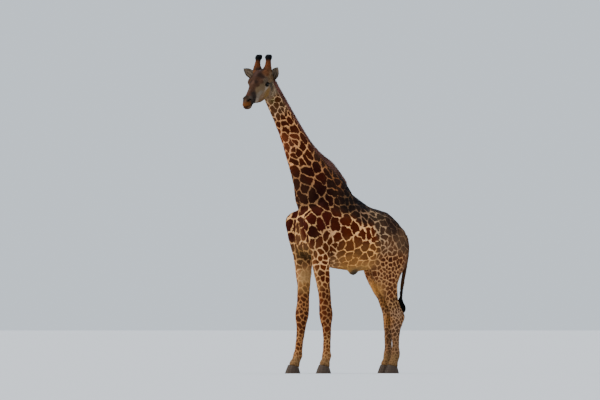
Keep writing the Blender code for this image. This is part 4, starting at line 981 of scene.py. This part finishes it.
def coat_material(name, roughness, fine_bump, hair_mm):
    """Short hair: brown pigment in patches, a soft sheen, and a bump as coarse as a lock of hair."""
    made, tree, surface = new_material(name)
    told_border = add(tree, "ShaderNodeAttribute", {"attribute_name": "border"})
    told_patch = add(tree, "ShaderNodeAttribute", {"attribute_name": "patch"})
    told_ground = add(tree, "ShaderNodeAttribute", {"attribute_name": "ground"})
    spot = add(tree, "ShaderNodeTexCoord").outputs["Object"]
    fray = add(tree, "ShaderNodeTexNoise", Vector=spot, Scale=1000 / 14, Detail=3.0)
    frayed = add(
        tree, "ShaderNodeMath", {"operation": "MULTIPLY_ADD"}, _0=fray.outputs["Fac"], _1=0.008, _2=-0.004
    )
    moved = add(
        tree, "ShaderNodeMath", {"operation": "ADD"}, _0=told_border.outputs["Fac"], _1=frayed.outputs[0]
    )
    inside = add(
        tree,
        "ShaderNodeMapRange",
        {"interpolation_type": "SMOOTHSTEP"},
        Value=moved.outputs[0],
        **{"From Min": -0.0030, "From Max": 0.0030},
    )
    share = add(
        tree,
        "ShaderNodeMath",
        {"operation": "MULTIPLY"},
        _0=inside.outputs[0],
        _1=told_patch.outputs["Alpha"],
    )
    pigment = add(
        tree,
        "ShaderNodeMix",
        {"data_type": "RGBA"},
        _0=share.outputs[0],
        _6=told_ground.outputs["Color"],
        _7=told_patch.outputs["Color"],
    )
    strands = add(tree, "ShaderNodeTexNoise", Vector=spot, Scale=1000 / hair_mm, Detail=4.0, Roughness=0.65)
    shaded = add(
        tree,
        "ShaderNodeMapRange",
        Value=strands.outputs["Fac"],
        **{"From Min": 0.3, "From Max": 0.7, "To Min": 0.80, "To Max": 1.18},
    )
    varied = add(
        tree, "ShaderNodeVectorMath", {"operation": "SCALE"}, _0=pigment.outputs[2], Scale=shaded.outputs[0]
    )
    tree.links.new(varied.outputs[0], surface.inputs["Base Color"])
    rough = add(
        tree,
        "ShaderNodeMapRange",
        Value=strands.outputs["Fac"],
        **{"To Min": roughness - 0.08, "To Max": roughness + 0.10},
    )
    tree.links.new(rough.outputs[0], surface.inputs["Roughness"])
    bump = add(tree, "ShaderNodeBump", Strength=fine_bump, Distance=0.002, Height=strands.outputs["Fac"])
    tree.links.new(bump.outputs[0], surface.inputs["Normal"])
    surface.inputs["Specular IOR Level"].default_value = 0.06
    return made


short_hair = coat_material("short_hair_over_hide", 0.62, 0.55, 5.0)
skin.data.materials.append(short_hair)

# ---------------------------------------------------------------------------------------------------
# Eyes: dark brown globes under clear wet cornea, sunk behind the lids.
# ---------------------------------------------------------------------------------------------------
wet_eye, tree, surface = new_material("wet_dark_eye")
told_iris = add(tree, "ShaderNodeAttribute", {"attribute_name": "iris"})
spot = add(tree, "ShaderNodeTexCoord").outputs["Object"]
fibres = add(tree, "ShaderNodeTexNoise", Vector=spot, Scale=700.0, Detail=3.0)
depth_of = add(tree, "ShaderNodeMapRange", Value=fibres.outputs["Fac"], **{"To Min": 0.6, "To Max": 1.4})
flecked = add(
    tree,
    "ShaderNodeVectorMath",
    {"operation": "SCALE"},
    _0=told_iris.outputs["Color"],
    Scale=depth_of.outputs[0],
)
tree.links.new(flecked.outputs[0], surface.inputs["Base Color"])
surface.inputs["Roughness"].default_value = 0.12
surface.inputs["Specular IOR Level"].default_value = 0.15
surface.inputs["Coat Weight"].default_value = 0.05
surface.inputs["Coat Roughness"].default_value = 0.05
IRIS_WIDTH, PUPIL_LENGTH, PUPIL_HEIGHT, CORNEA_RISE = 0.78, 0.42, 0.24, 0.0012
EYEBALL_TONE, IRIS_TONE, PUPIL_TONE = (np.array(pigment(code)) for code in ("#20160f", "#2c190e", "#060404"))
for side, mirrored in SIDES.items():
    bpy.ops.mesh.primitive_uv_sphere_add(segments=64, ring_count=48, radius=eye_radius - 0.0014)
    globe = bpy.context.object
    globe.name = f"eyeball_{side}"
    places, _ = as_arrays(globe.data)
    way = (places / np.linalg.norm(places, axis=1)[:, None]) @ head_axes.T
    outward = way[:, 1] * mirrored
    off_axis = np.sqrt(way[:, 0] ** 2 + way[:, 2] ** 2)
    places *= (1 + CORNEA_RISE / eye_radius * np.clip((outward - 0.6) / 0.4, 0, 1))[:, None]
    pupil = np.sqrt((way[:, 0] / PUPIL_LENGTH) ** 2 + (way[:, 2] / PUPIL_HEIGHT) ** 2)
    in_iris = np.clip((IRIS_WIDTH - off_axis) / 0.06, 0, 1) * (outward > 0)
    in_pupil = np.clip((1.05 - pupil) / 0.15, 0, 1)
    colour = EYEBALL_TONE * (1 - in_iris)[:, None] + IRIS_TONE * in_iris[:, None]
    colour = colour * (1 - in_pupil)[:, None] + PUPIL_TONE * in_pupil[:, None]
    rim_of_iris = np.exp(-(((off_axis - IRIS_WIDTH) / 0.06) ** 2))[:, None]
    colour = colour * (1 - 0.7 * rim_of_iris)
    attribute = globe.data.attributes.new("iris", "FLOAT_COLOR", "POINT")
    opaque = np.column_stack([colour, np.ones(len(colour))])
    attribute.data.foreach_set("color", opaque.astype(np.float32).ravel())
    globe.data.vertices.foreach_set("co", (places + np.array(eye_middle(side))).ravel())
    globe.data.update()
    globe.data.shade_smooth()
    globe.data.materials.append(wet_eye)
    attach(globe, "root")
    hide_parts(f"eye_{side}")

# ---------------------------------------------------------------------------------------------------
# Hooves: two horn toes to a foot, ringed by growth and scuffed pale at the ground.
# ---------------------------------------------------------------------------------------------------
horn, tree, surface = new_material("ringed_hoof_horn")
spot = add(tree, "ShaderNodeTexCoord").outputs["Object"]
rings = add(
    tree,
    "ShaderNodeTexWave",
    {"bands_direction": "Z"},
    Vector=spot,
    Scale=1000 / 16 / 6.28,
    Distortion=2.2,
    Detail=2.0,
)
dirt = add(tree, "ShaderNodeTexNoise", Vector=spot, Scale=34.0, Detail=5.0)
horn_tone = add(
    tree,
    "ShaderNodeMix",
    {"data_type": "RGBA"},
    _0=rings.outputs["Fac"],
    _6=colour4("#1c1512"),
    _7=colour4("#30251d"),
)
scuffed = add(
    tree,
    "ShaderNodeMix",
    {"data_type": "RGBA"},
    _0=dirt.outputs["Fac"],
    _6=horn_tone.outputs[2],
    _7=colour4("#4a3c30"),
)
tree.links.new(scuffed.outputs[2], surface.inputs["Base Color"])
surface.inputs["Roughness"].default_value = 0.6
surface.inputs["Specular IOR Level"].default_value = 0.2
bump = add(tree, "ShaderNodeBump", Strength=0.4, Distance=0.002, Height=rings.outputs["Fac"])
tree.links.new(bump.outputs[0], surface.inputs["Normal"])
for name, node in nodes.items():
    if name.startswith("hoof"):
        node.data.materials.clear()
        node.data.materials.append(horn)

# ---------------------------------------------------------------------------------------------------
# Ossicones: bony horns wrapped in the same hide, red-brown up the shaft and black on the blunt knob.
# ---------------------------------------------------------------------------------------------------
KNOB_BELOW_TOP = 0.100
HORN_ROOT = 0.030  # the height over which it flares into the skull and takes the skull's colour
BARE_FOOT, OVERHANG = 0.35, -0.5  # no hair below this share of the root, nor where the knob faces down
skin_tree = KDTree(body_count)
for i, spot in enumerate(points[:body_count].tolist()):
    skin_tree.insert(spot, i)
skin_tree.balance()
ossicones = {}
for side in SIDES:
    shape = bmesh.new()
    shape.from_mesh(nodes[f"ossicone_{side}"].data)
    bmesh.ops.remove_doubles(shape, verts=shape.verts, dist=0.00002)
    for _ in range(2):
        bmesh.ops.subdivide_edges(shape, edges=shape.edges, cuts=1)
        bmesh.ops.triangulate(shape, faces=[f for f in shape.faces if len(f.verts) > 4])
        shape.verts.index_update()
        even_out(shape, 9)
    shape.normal_update()
    mesh = bpy.data.meshes.new("ossicone")
    shape.to_mesh(mesh)
    shape.free()
    horn_points, horn_triangles = as_arrays(mesh)
    horn_normals = np.array([n.vector[:] for n in mesh.vertex_normals])
    horn_points += horn_normals * (wobble(horn_points, 0.045, 50) * 0.0012 - 0.003)[:, None]
    over_skin = np.array([skin_tree.find(place)[2] for place in horn_points.tolist()])
    at_foot = horn_points[:, 2] < horn_points[:, 2].min() + 0.11
    sunk = np.clip((HORN_ROOT - over_skin) / HORN_ROOT, 0, 1) * at_foot
    horn_points += (np.array(crown) * -0.030 + horn_normals * 0.004) * sunk[:, None] ** 2
    made = new_piece(
        f"horn_{side}", horn_points.tolist(), horn_triangles.tolist(), [f"ossicone_{side}"]
    )
    below = horn_points[:, 2].max() - horn_points[:, 2] + wobble(horn_points, 0.04, 51) * 0.006
    black = np.clip((KNOB_BELOW_TOP - below) / 0.045 + 0.5, 0, 1)[:, None]
    shaft = np.array(pigment("#7c5438")) * np.exp(0.10 * wobble(horn_points, 0.05, 52))[:, None]
    near_skull = [skin_tree.find(place) for place in horn_points.tolist()]
    low = np.clip(1.2 - np.array([hit[2] for hit in near_skull]) / (HORN_ROOT * 1.6), 0, 1)[:, None]
    shaft = shaft * (1 - low) + ground_colour[[hit[1] for hit in near_skull]] * low
    horn_colour = shaft * (1 - black) + np.array(pigment("#24282c")) * black
    carry(made.data, np.full(len(horn_points), 0.05), np.zeros(len(horn_points)), horn_colour, horn_colour)
    made.data.materials.append(short_hair)
    clear = (over_skin > BARE_FOOT * HORN_ROOT) & (horn_normals[:, 2] > OVERHANG)
    ossicones[side] = (horn_points, horn_triangles, horn_normals, horn_colour, black[:, 0], clear)

# ---------------------------------------------------------------------------------------------------
# The coat: short locks that lie down the body, closest on the face and feet. A lock is a thin closed
# sliver with its foot in the skin, and it carries the marking found at its foot.
# ---------------------------------------------------------------------------------------------------
LOCK_FACES = np.array([(0, 1, 2), (0, 3, 1), (0, 2, 3), (1, 3, 2)])
BAKE_PATCH, UNROLL_STATIONS = 0.003, 16


def mesh_of(name, points, faces):
    """A mesh made straight from arrays of points and triangles."""
    mesh = bpy.data.meshes.new(name)
    mesh.vertices.add(len(points))
    mesh.vertices.foreach_set("co", np.asarray(points, np.float32).ravel())
    mesh.loops.add(faces.size)
    mesh.loops.foreach_set("vertex_index", faces.astype(np.int32).ravel())
    mesh.polygons.add(len(faces))
    mesh.polygons.foreach_set("loop_start", np.arange(0, faces.size, 3, dtype=np.int32))
    mesh.update(calc_edges=True)
    mesh.shade_smooth()
    return mesh


def plain_tones(colour):
    """What the coat's material reads, for hair with no patches: well inside a border, and one colour."""
    flat = np.zeros(len(colour))
    return [flat + 0.05, flat, colour, colour]


def unrolled(places):
    """Each place on a part's own skin, unrolled round the line through its middle, both ways 0 to 1."""
    middle = places.mean(axis=0)
    _, _, axes = np.linalg.svd((places - middle)[:: max(len(places) // 4000, 1)], full_matrices=False)
    length = (places - middle) @ axes[0]
    share = (length - length.min()) / max(np.ptp(length), 1e-6)
    stations = np.clip((share * UNROLL_STATIONS).astype(int), 0, UNROLL_STATIONS - 1)
    centres = np.tile(middle, (UNROLL_STATIONS, 1))
    for k in np.unique(stations):
        centres[k] = places[stations == k].mean(axis=0)
    between = share * UNROLL_STATIONS - 0.5
    line = np.column_stack([np.interp(between, range(UNROLL_STATIONS), centres[:, k]) for k in range(3)])
    turn = np.arctan2((places - line) @ axes[1], (places - line) @ axes[2]) / math.tau + 0.5
    return np.column_stack([turn, share]) * (1 - 2 * BAKE_PATCH) + BAKE_PATCH


def put_up(name, lock_points, lock_faces, feet, tones, normals, material, replaced=()):
    """Makes one piece of many like locks. Each lock is an equal run of points, with its own tones."""
    locks, per_lock = lock_points.shape[:2]
    faces = (np.arange(locks)[:, None, None] * per_lock + lock_faces[None]).reshape(-1, 3)
    mesh = mesh_of(name, lock_points.reshape(-1, 3), faces)
    made = bpy.data.objects.new(name, mesh)
    bpy.context.scene.collection.objects.link(made)
    border_at, marked_at, patch_at, ground_at = (np.repeat(tone, per_lock, axis=0) for tone in tones)
    carry(mesh, border_at, marked_at, patch_at, ground_at)
    turn = np.arange(per_lock) * 2.4
    spread = np.column_stack([np.cos(turn), np.sin(turn)]) * BAKE_PATCH / 2
    atlas = (unrolled(feet)[:, None] + spread[None]).reshape(-1, 2)[faces.ravel()]
    mesh.uv_layers.new(name="OFBake").data.foreach_set("uv", atlas.astype(np.float32).ravel())
    if normals is not None:
        own = np.array([n.vector[:] for n in mesh.vertex_normals])
        soft = own * 0.25 + np.repeat(normals, per_lock, axis=0) * 0.85
        soft /= np.maximum(np.linalg.norm(soft, axis=1), 1e-6)[:, None]
        mesh.normals_split_custom_set_from_vertices(soft.tolist())
    mesh.materials.append(material)
    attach(made, "root")
    if replaced:
        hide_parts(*replaced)
    return made


def strew(points, triangles, density):
    """Random places on triangles: the triangle and its corner shares, by density per square metre."""
    a, b, c = (points[triangles[:, k]] for k in range(3))
    area = np.linalg.norm(np.cross(b - a, c - a), axis=1) / 2
    wanted = area * density[triangles].mean(axis=1)
    count = rng.poisson(wanted)
    chosen = np.repeat(np.arange(len(triangles)), count)
    share = rng.random((len(chosen), 2))
    share = np.where(share.sum(axis=1)[:, None] > 1, 1 - share, share)
    return triangles[chosen], np.column_stack([1 - share.sum(axis=1), share])


def blend(values, corners, shares):
    return (values[corners] * (shares[..., None] if values.ndim == 2 else shares)).sum(axis=1)


def slivers(feet, lies, ups, lengths, widths, lifts):
    """Closed slivers, four points each, that rise a little from the skin as they run along it."""
    sides = np.cross(lies, ups)
    half = sides * (widths / 2)[:, None]
    sunk = feet - ups * (widths * 0.45)[:, None]
    tips = feet + lies * (lengths * np.cos(lifts))[:, None] + ups * (lengths * np.sin(lifts))[:, None]
    return np.stack([sunk - half, sunk + half, feet + ups * (widths * 0.40)[:, None], tips], axis=1)


part_of = nearest_part(points)
part_of[ears_at] = FLESH.index("head")
part_of[(part_of == FLESH.index("eye_left")) | (part_of == FLESH.index("eye_right"))] = FLESH.index("head")

from_eyes = np.min(
    [np.linalg.norm(place - np.array(EYE_IN_HEAD) * [1, m, 1], axis=1) for m in SIDES.values()], axis=0
)
bare = (from_eyes < 0.036) | (inside_nostril > 0.25) | (inside_mouth > 0.3)
density = np.where(bare & ~ears_at, 0, 1 / (0.0026 + 0.37 * hair_length) ** 2)
corners, shares = strew(points, triangles, density)
foot, up, lying = (blend(values, corners, shares) for values in (points, normals, lie))
up /= np.linalg.norm(up, axis=1)[:, None]
lying += rng.normal(0, 0.16, lying.shape)
lying -= up * (lying * up).sum(axis=1)[:, None]
lying /= np.maximum(np.linalg.norm(lying, axis=1), 1e-6)[:, None]
told_length = blend(hair_length, corners, shares)
ear_place = np.maximum(np.arange(len(points)) - body_count, 0)
in_cup = blend(np.where(ears_at, ear_inside[ear_place], 0.0), corners, shares) > 0.5
length = told_length * rng.uniform(0.75, 1.25, len(foot)) * np.where(in_cup, 1.5, 1.0)
width = 0.0011 + 0.125 * told_length
lift = rng.uniform(0.12, 0.30, len(foot)) * np.clip(told_length / 0.014, 0.55, 1) + np.where(in_cup, 0.25, 0)
tone = np.exp(rng.normal(0, 0.10, len(foot)))[:, None]
tones = [blend(border, corners, shares), blend(marked, corners, shares)]
tones += [blend(patch_colour, corners, shares) * tone, blend(ground_colour, corners, shares) * tone]
part = part_of[corners[:, 0]]
LOCKS_EACH = 48000
for number, name in enumerate(FLESH):
    mine = np.flatnonzero(part == number)
    groups = {"": mine} if len(mine) < LOCKS_EACH else {
        "_left": mine[foot[mine, 0] >= 0], "_right": mine[foot[mine, 0] < 0]
    }
    for end, group in groups.items():
        if len(group) == 0:
            continue
        made = slivers(foot[group], lying[group], up[group], length[group], width[group], lift[group])
        own_tones = [told[group] for told in tones]
        put_up(f"coat_{name}{end}", made, LOCK_FACES, foot[group], own_tones, up[group], short_hair)

# Hair of the ossicones: it lies up the shaft, and stands in a black ruff round the knob.
HORN_HAIR_WIDTH = 0.0026
for side, (horn_points, horn_triangles, horn_normals, horn_colour, black, clear) in ossicones.items():
    top = horn_points[:, 2].max()
    worn = (horn_points[:, 2] > top - 0.010)
    corners, shares = strew(horn_points, horn_triangles, np.where(worn, 9000, 42000 + 30000 * black) * clear)
    foot, up = blend(horn_points, corners, shares), blend(horn_normals, corners, shares)
    up /= np.linalg.norm(up, axis=1)[:, None]
    dark = blend(black, corners, shares)
    lying = np.array([0, 0, 1.0]) * np.where(dark > 0.4, 1.0, -1.0)[:, None]
    lying = lying + rng.normal(0, 0.25, foot.shape)
    lying -= up * (lying * up).sum(axis=1)[:, None]
    lying /= np.maximum(np.linalg.norm(lying, axis=1), 1e-6)[:, None]
    length = rng.uniform(0.010, 0.016, len(foot)) * (1 + 0.5 * dark)
    length *= np.where(foot[:, 2] > top - 0.012, 0.5, 1)
    colour = blend(horn_colour, corners, shares) * np.exp(rng.normal(0, 0.12, len(foot)))[:, None]
    lift = rng.uniform(0.15, 0.35, len(foot)) + dark * 0.15
    made = slivers(foot, lying, up, length, np.full(len(foot), HORN_HAIR_WIDTH), lift)
    put_up(f"horn_hair_{side}", made, LOCK_FACES, foot, plain_tones(colour), up, short_hair)

# ---------------------------------------------------------------------------------------------------
# Long hair: the mane's stiff brush, the tail's switch and the lashes. A strand is a three-sided taper
# along a bent line.
# ---------------------------------------------------------------------------------------------------


def tapers(lines, sides, widths):
    """Closed three-sided tapers along lines of points, each ending in one tip."""
    count, steps = lines.shape[:2]
    way = np.gradient(lines, axis=1)
    way /= np.maximum(np.linalg.norm(way, axis=2), 1e-9)[..., None]
    right = sides[:, None] - way * (sides[:, None] * way).sum(axis=2)[..., None]
    right /= np.maximum(np.linalg.norm(right, axis=2), 1e-9)[..., None]
    other = np.cross(right, way)
    swell = np.sqrt(np.clip(1 - np.linspace(0, 1, steps) ** 2.2, 0, 1))
    rings = []
    for turn in (0, math.tau / 3, 2 * math.tau / 3):
        reach = (right * math.cos(turn) + other * math.sin(turn)) * (widths[:, None] / 2 * swell)[..., None]
        rings.append((lines + reach)[:, :-1])
    body = np.stack(rings, axis=2).reshape(count, -1, 3)
    faces = [(0, 1, 2)]
    for i in range(steps - 2):
        for k in range(3):
            a, b = i * 3 + k, i * 3 + (k + 1) % 3
            faces += [(a, a + 3, b), (b, a + 3, b + 3)]
    last, tip = (steps - 2) * 3, (steps - 1) * 3
    faces += [(last + k, tip, last + (k + 1) % 3) for k in range(3)]
    return np.concatenate([body, lines[:, -1:]], axis=1), np.array(faces)


SLICE_SAMPLES = 40


def slices(name, along, outwards, count):
    """A solid's run along one way, and at each station the reach of its other two sides."""
    places, faces = as_arrays(nodes[name].data)
    share = rng.dirichlet((1, 1, 1), (SLICE_SAMPLES, len(faces)))
    places = (places[faces][None] * share[..., None]).sum(axis=2).reshape(-1, 3)
    run, reach, aside = places @ along, places @ outwards, places @ np.cross(along, outwards)
    stations = np.linspace(run.min(), run.max(), count)
    rows = []
    for station in stations:
        near = np.abs(run - station) <= np.ptp(run) / count * 0.6
        rows.append((reach[near].min(), reach[near].max(), aside[near].min(), aside[near].max()))
    return stations, np.array(rows)


long_hair = coat_material("stiff_long_hair", 0.55, 0.35, 3.0)
crest_top = np.array(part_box("mane")[1])
crest_low = np.array(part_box("mane")[0])
down_crest = np.array([0, crest_top[1] - crest_low[1], crest_low[2] - crest_top[2]])
down_crest /= np.linalg.norm(down_crest)
off_crest = np.array([0, -down_crest[2], down_crest[1]])
stations, rows = slices("mane", down_crest, off_crest, 44)
aside_way = np.cross(down_crest, off_crest)
MANE_LOCKS, MANE_DEPTH, MANE_STEPS = 12000, 0.086, 4
MANE_WIDTHS = (0.0035, 0.0060)  # of one lock, narrow and broad
TALL_POLL, HUMP_RISE, HUMP_AT, HUMP_REACH = 0.22, 0.34, 0.78, 0.055  # taller behind the ears and low down
MANE_END, END_FALL = 0.94, 0.55  # where it starts to sink into the withers, and by how much
run = stations[0] + (stations[-1] - stations[0]) * rng.random(MANE_LOCKS)
top = np.interp(run, stations, rows[:, 1])
middle = np.interp(run, stations, rows[:, 2:].mean(axis=1))
half = np.interp(run, stations, np.ptp(rows[:, 2:], axis=1) / 2)
spot = rng.uniform(-1, 1, MANE_LOCKS)
tall = rng.uniform(0.94, 1.16, MANE_LOCKS) * (1 - 0.14 * spot**2)
down = (run - stations[0]) / (stations[-1] - stations[0])
hump = HUMP_RISE * np.exp(-(((down - HUMP_AT) / HUMP_REACH) ** 2))
tall *= 1 + TALL_POLL * np.clip((0.40 - down) / 0.25, 0, 1) + hump
tall *= 1 - END_FALL * np.clip((down - MANE_END) / (1 - MANE_END), 0, 1)
lean = rng.normal(0.012, 0.007, MANE_LOCKS)
bow = rng.normal(0, 0.20, MANE_LOCKS)
lines = []
for share in np.linspace(0, 1, MANE_STEPS):
    out = top - MANE_DEPTH + MANE_DEPTH * tall * share - 0.002
    across = middle + half * (spot * (1.05 - 0.25 * share) + bow * share**2 * 0.6)
    leant = (run + lean * share**1.5)[:, None]
    lines.append(down_crest * leant + off_crest * out[:, None] + aside_way * across[:, None])
lines = np.stack(lines, axis=1)
sides = np.tile(down_crest, (MANE_LOCKS, 1))
strands, strand_faces = tapers(lines, sides, rng.uniform(*MANE_WIDTHS, MANE_LOCKS))
dark = np.clip((down - 0.62) / 0.2, 0, 1) * np.clip((1.02 - down) / 0.14, 0, 1)
colour = np.array(pigment("#8c6a60")) * (1 - dark)[:, None] + np.array(pigment("#80655c")) * dark[:, None]
colour = colour * np.exp(rng.normal(0, 0.20, MANE_LOCKS) + 0.18 * wobble(lines[:, 0], 0.16, 60))[:, None]
put_up(
    "mane_hair", strands, strand_faces, lines[:, -1], plain_tones(colour), None, long_hair, ["mane"]
)

SWITCH_LOCKS, SWITCH_STEPS = 2400, 8
SWITCH_WIDTHS = (0.0025, 0.0045)  # of one lock, narrow and broad
SWITCH_LOOSE = 1.2  # how far the loose hair stands out past the solid
down_switch = np.array([0.0, 0.0, -1.0])
stations, rows = slices("tail_tuft", down_switch, np.array([0.0, 1.0, 0.0]), 18)
turn, spread = rng.uniform(0, math.tau, SWITCH_LOCKS), np.sqrt(rng.random(SWITCH_LOCKS))
begins = rng.random(SWITCH_LOCKS) ** 1.5 * 0.55
ends = np.clip(begins + rng.uniform(0.38, 0.75, SWITCH_LOCKS), 0, 1.0)
lines = []
for share in np.linspace(0, 1, SWITCH_STEPS):
    at = stations[0] + (stations[-1] - stations[0]) * (begins + (ends - begins) * share)
    back = np.interp(at, stations, rows[:, :2].mean(axis=1))
    back_half = np.interp(at, stations, np.ptp(rows[:, :2], axis=1) / 2)
    side_mid = np.interp(at, stations, rows[:, 2:].mean(axis=1))
    side_half = np.interp(at, stations, np.ptp(rows[:, 2:], axis=1) / 2)
    wave = 0.10 * np.sin(share * 5 + turn * 3)
    out = spread * (0.35 + 0.65 * min(share * 3, 1)) + wave
    sideways = side_mid + side_half * SWITCH_LOOSE * out * np.sin(turn + share)
    backwards = back + back_half * SWITCH_LOOSE * out * np.cos(turn + share)
    lines.append(np.column_stack([-sideways, backwards, -at]))
lines = np.stack(lines, axis=1)
sides = np.tile([1.0, 0, 0], (SWITCH_LOCKS, 1))
strands, strand_faces = tapers(lines, sides, rng.uniform(*SWITCH_WIDTHS, SWITCH_LOCKS))
colour = np.array(pigment("#17120f")) * np.exp(rng.normal(0, 0.25, SWITCH_LOCKS))[:, None]
put_up(
    "tail_switch",
    strands,
    strand_faces,
    lines[:, 2],
    plain_tones(colour),
    None,
    long_hair,
    ["tail_tuft"],
)

LASHES, LASH_STEPS = 190, 6
for side, mirrored in SIDES.items():
    along_lid = np.linspace(-0.96, 0.80, LASHES) + rng.normal(0, 0.012, LASHES)
    over_slit = rng.uniform(1.04, 1.16, LASHES)
    flat_x = along_lid * ALMOND_LENGTH * over_slit
    flat_z = np.sqrt(np.clip(1 - along_lid**2, 0, 1)) * ALMOND_HEIGHT * over_slit - 0.04
    way = np.column_stack(
        [
            flat_x * math.cos(ALMOND_TILT) + flat_z * math.sin(ALMOND_TILT),
            np.sqrt(np.clip(1 - flat_x**2 - flat_z**2, 0.03, 1)) * mirrored,
            flat_z * math.cos(ALMOND_TILT) - flat_x * math.sin(ALMOND_TILT),
        ]
    )
    way /= np.linalg.norm(way, axis=1)[:, None]
    middle = np.array(EYE_IN_HEAD) * [1, mirrored, 1]
    long = rng.uniform(0.020, 0.032, LASHES) * (1 - 0.35 * (along_lid + 0.2) ** 2)
    lines = []
    for share in np.linspace(0, 1, LASH_STEPS):
        bend = np.array([0.30, 0.70 * mirrored, -0.45]) * share + np.array([0.12, 0, -0.22]) * share**2
        curl = (way * 0.45 * share + bend * 0.75) * long[:, None]
        lines.append(middle + way * (eye_radius + 0.002) + curl)
    lines = from_head(np.stack(lines, axis=1))
    strands, strand_faces = tapers(lines, np.tile(head_axes[0], (LASHES, 1)), np.full(LASHES, 0.0016))
    black = np.tile(pigment("#1c1411"), (LASHES, 1))
    put_up(
        f"lashes_{side}", strands, strand_faces, lines[:, 0], plain_tones(black), None, long_hair
    )
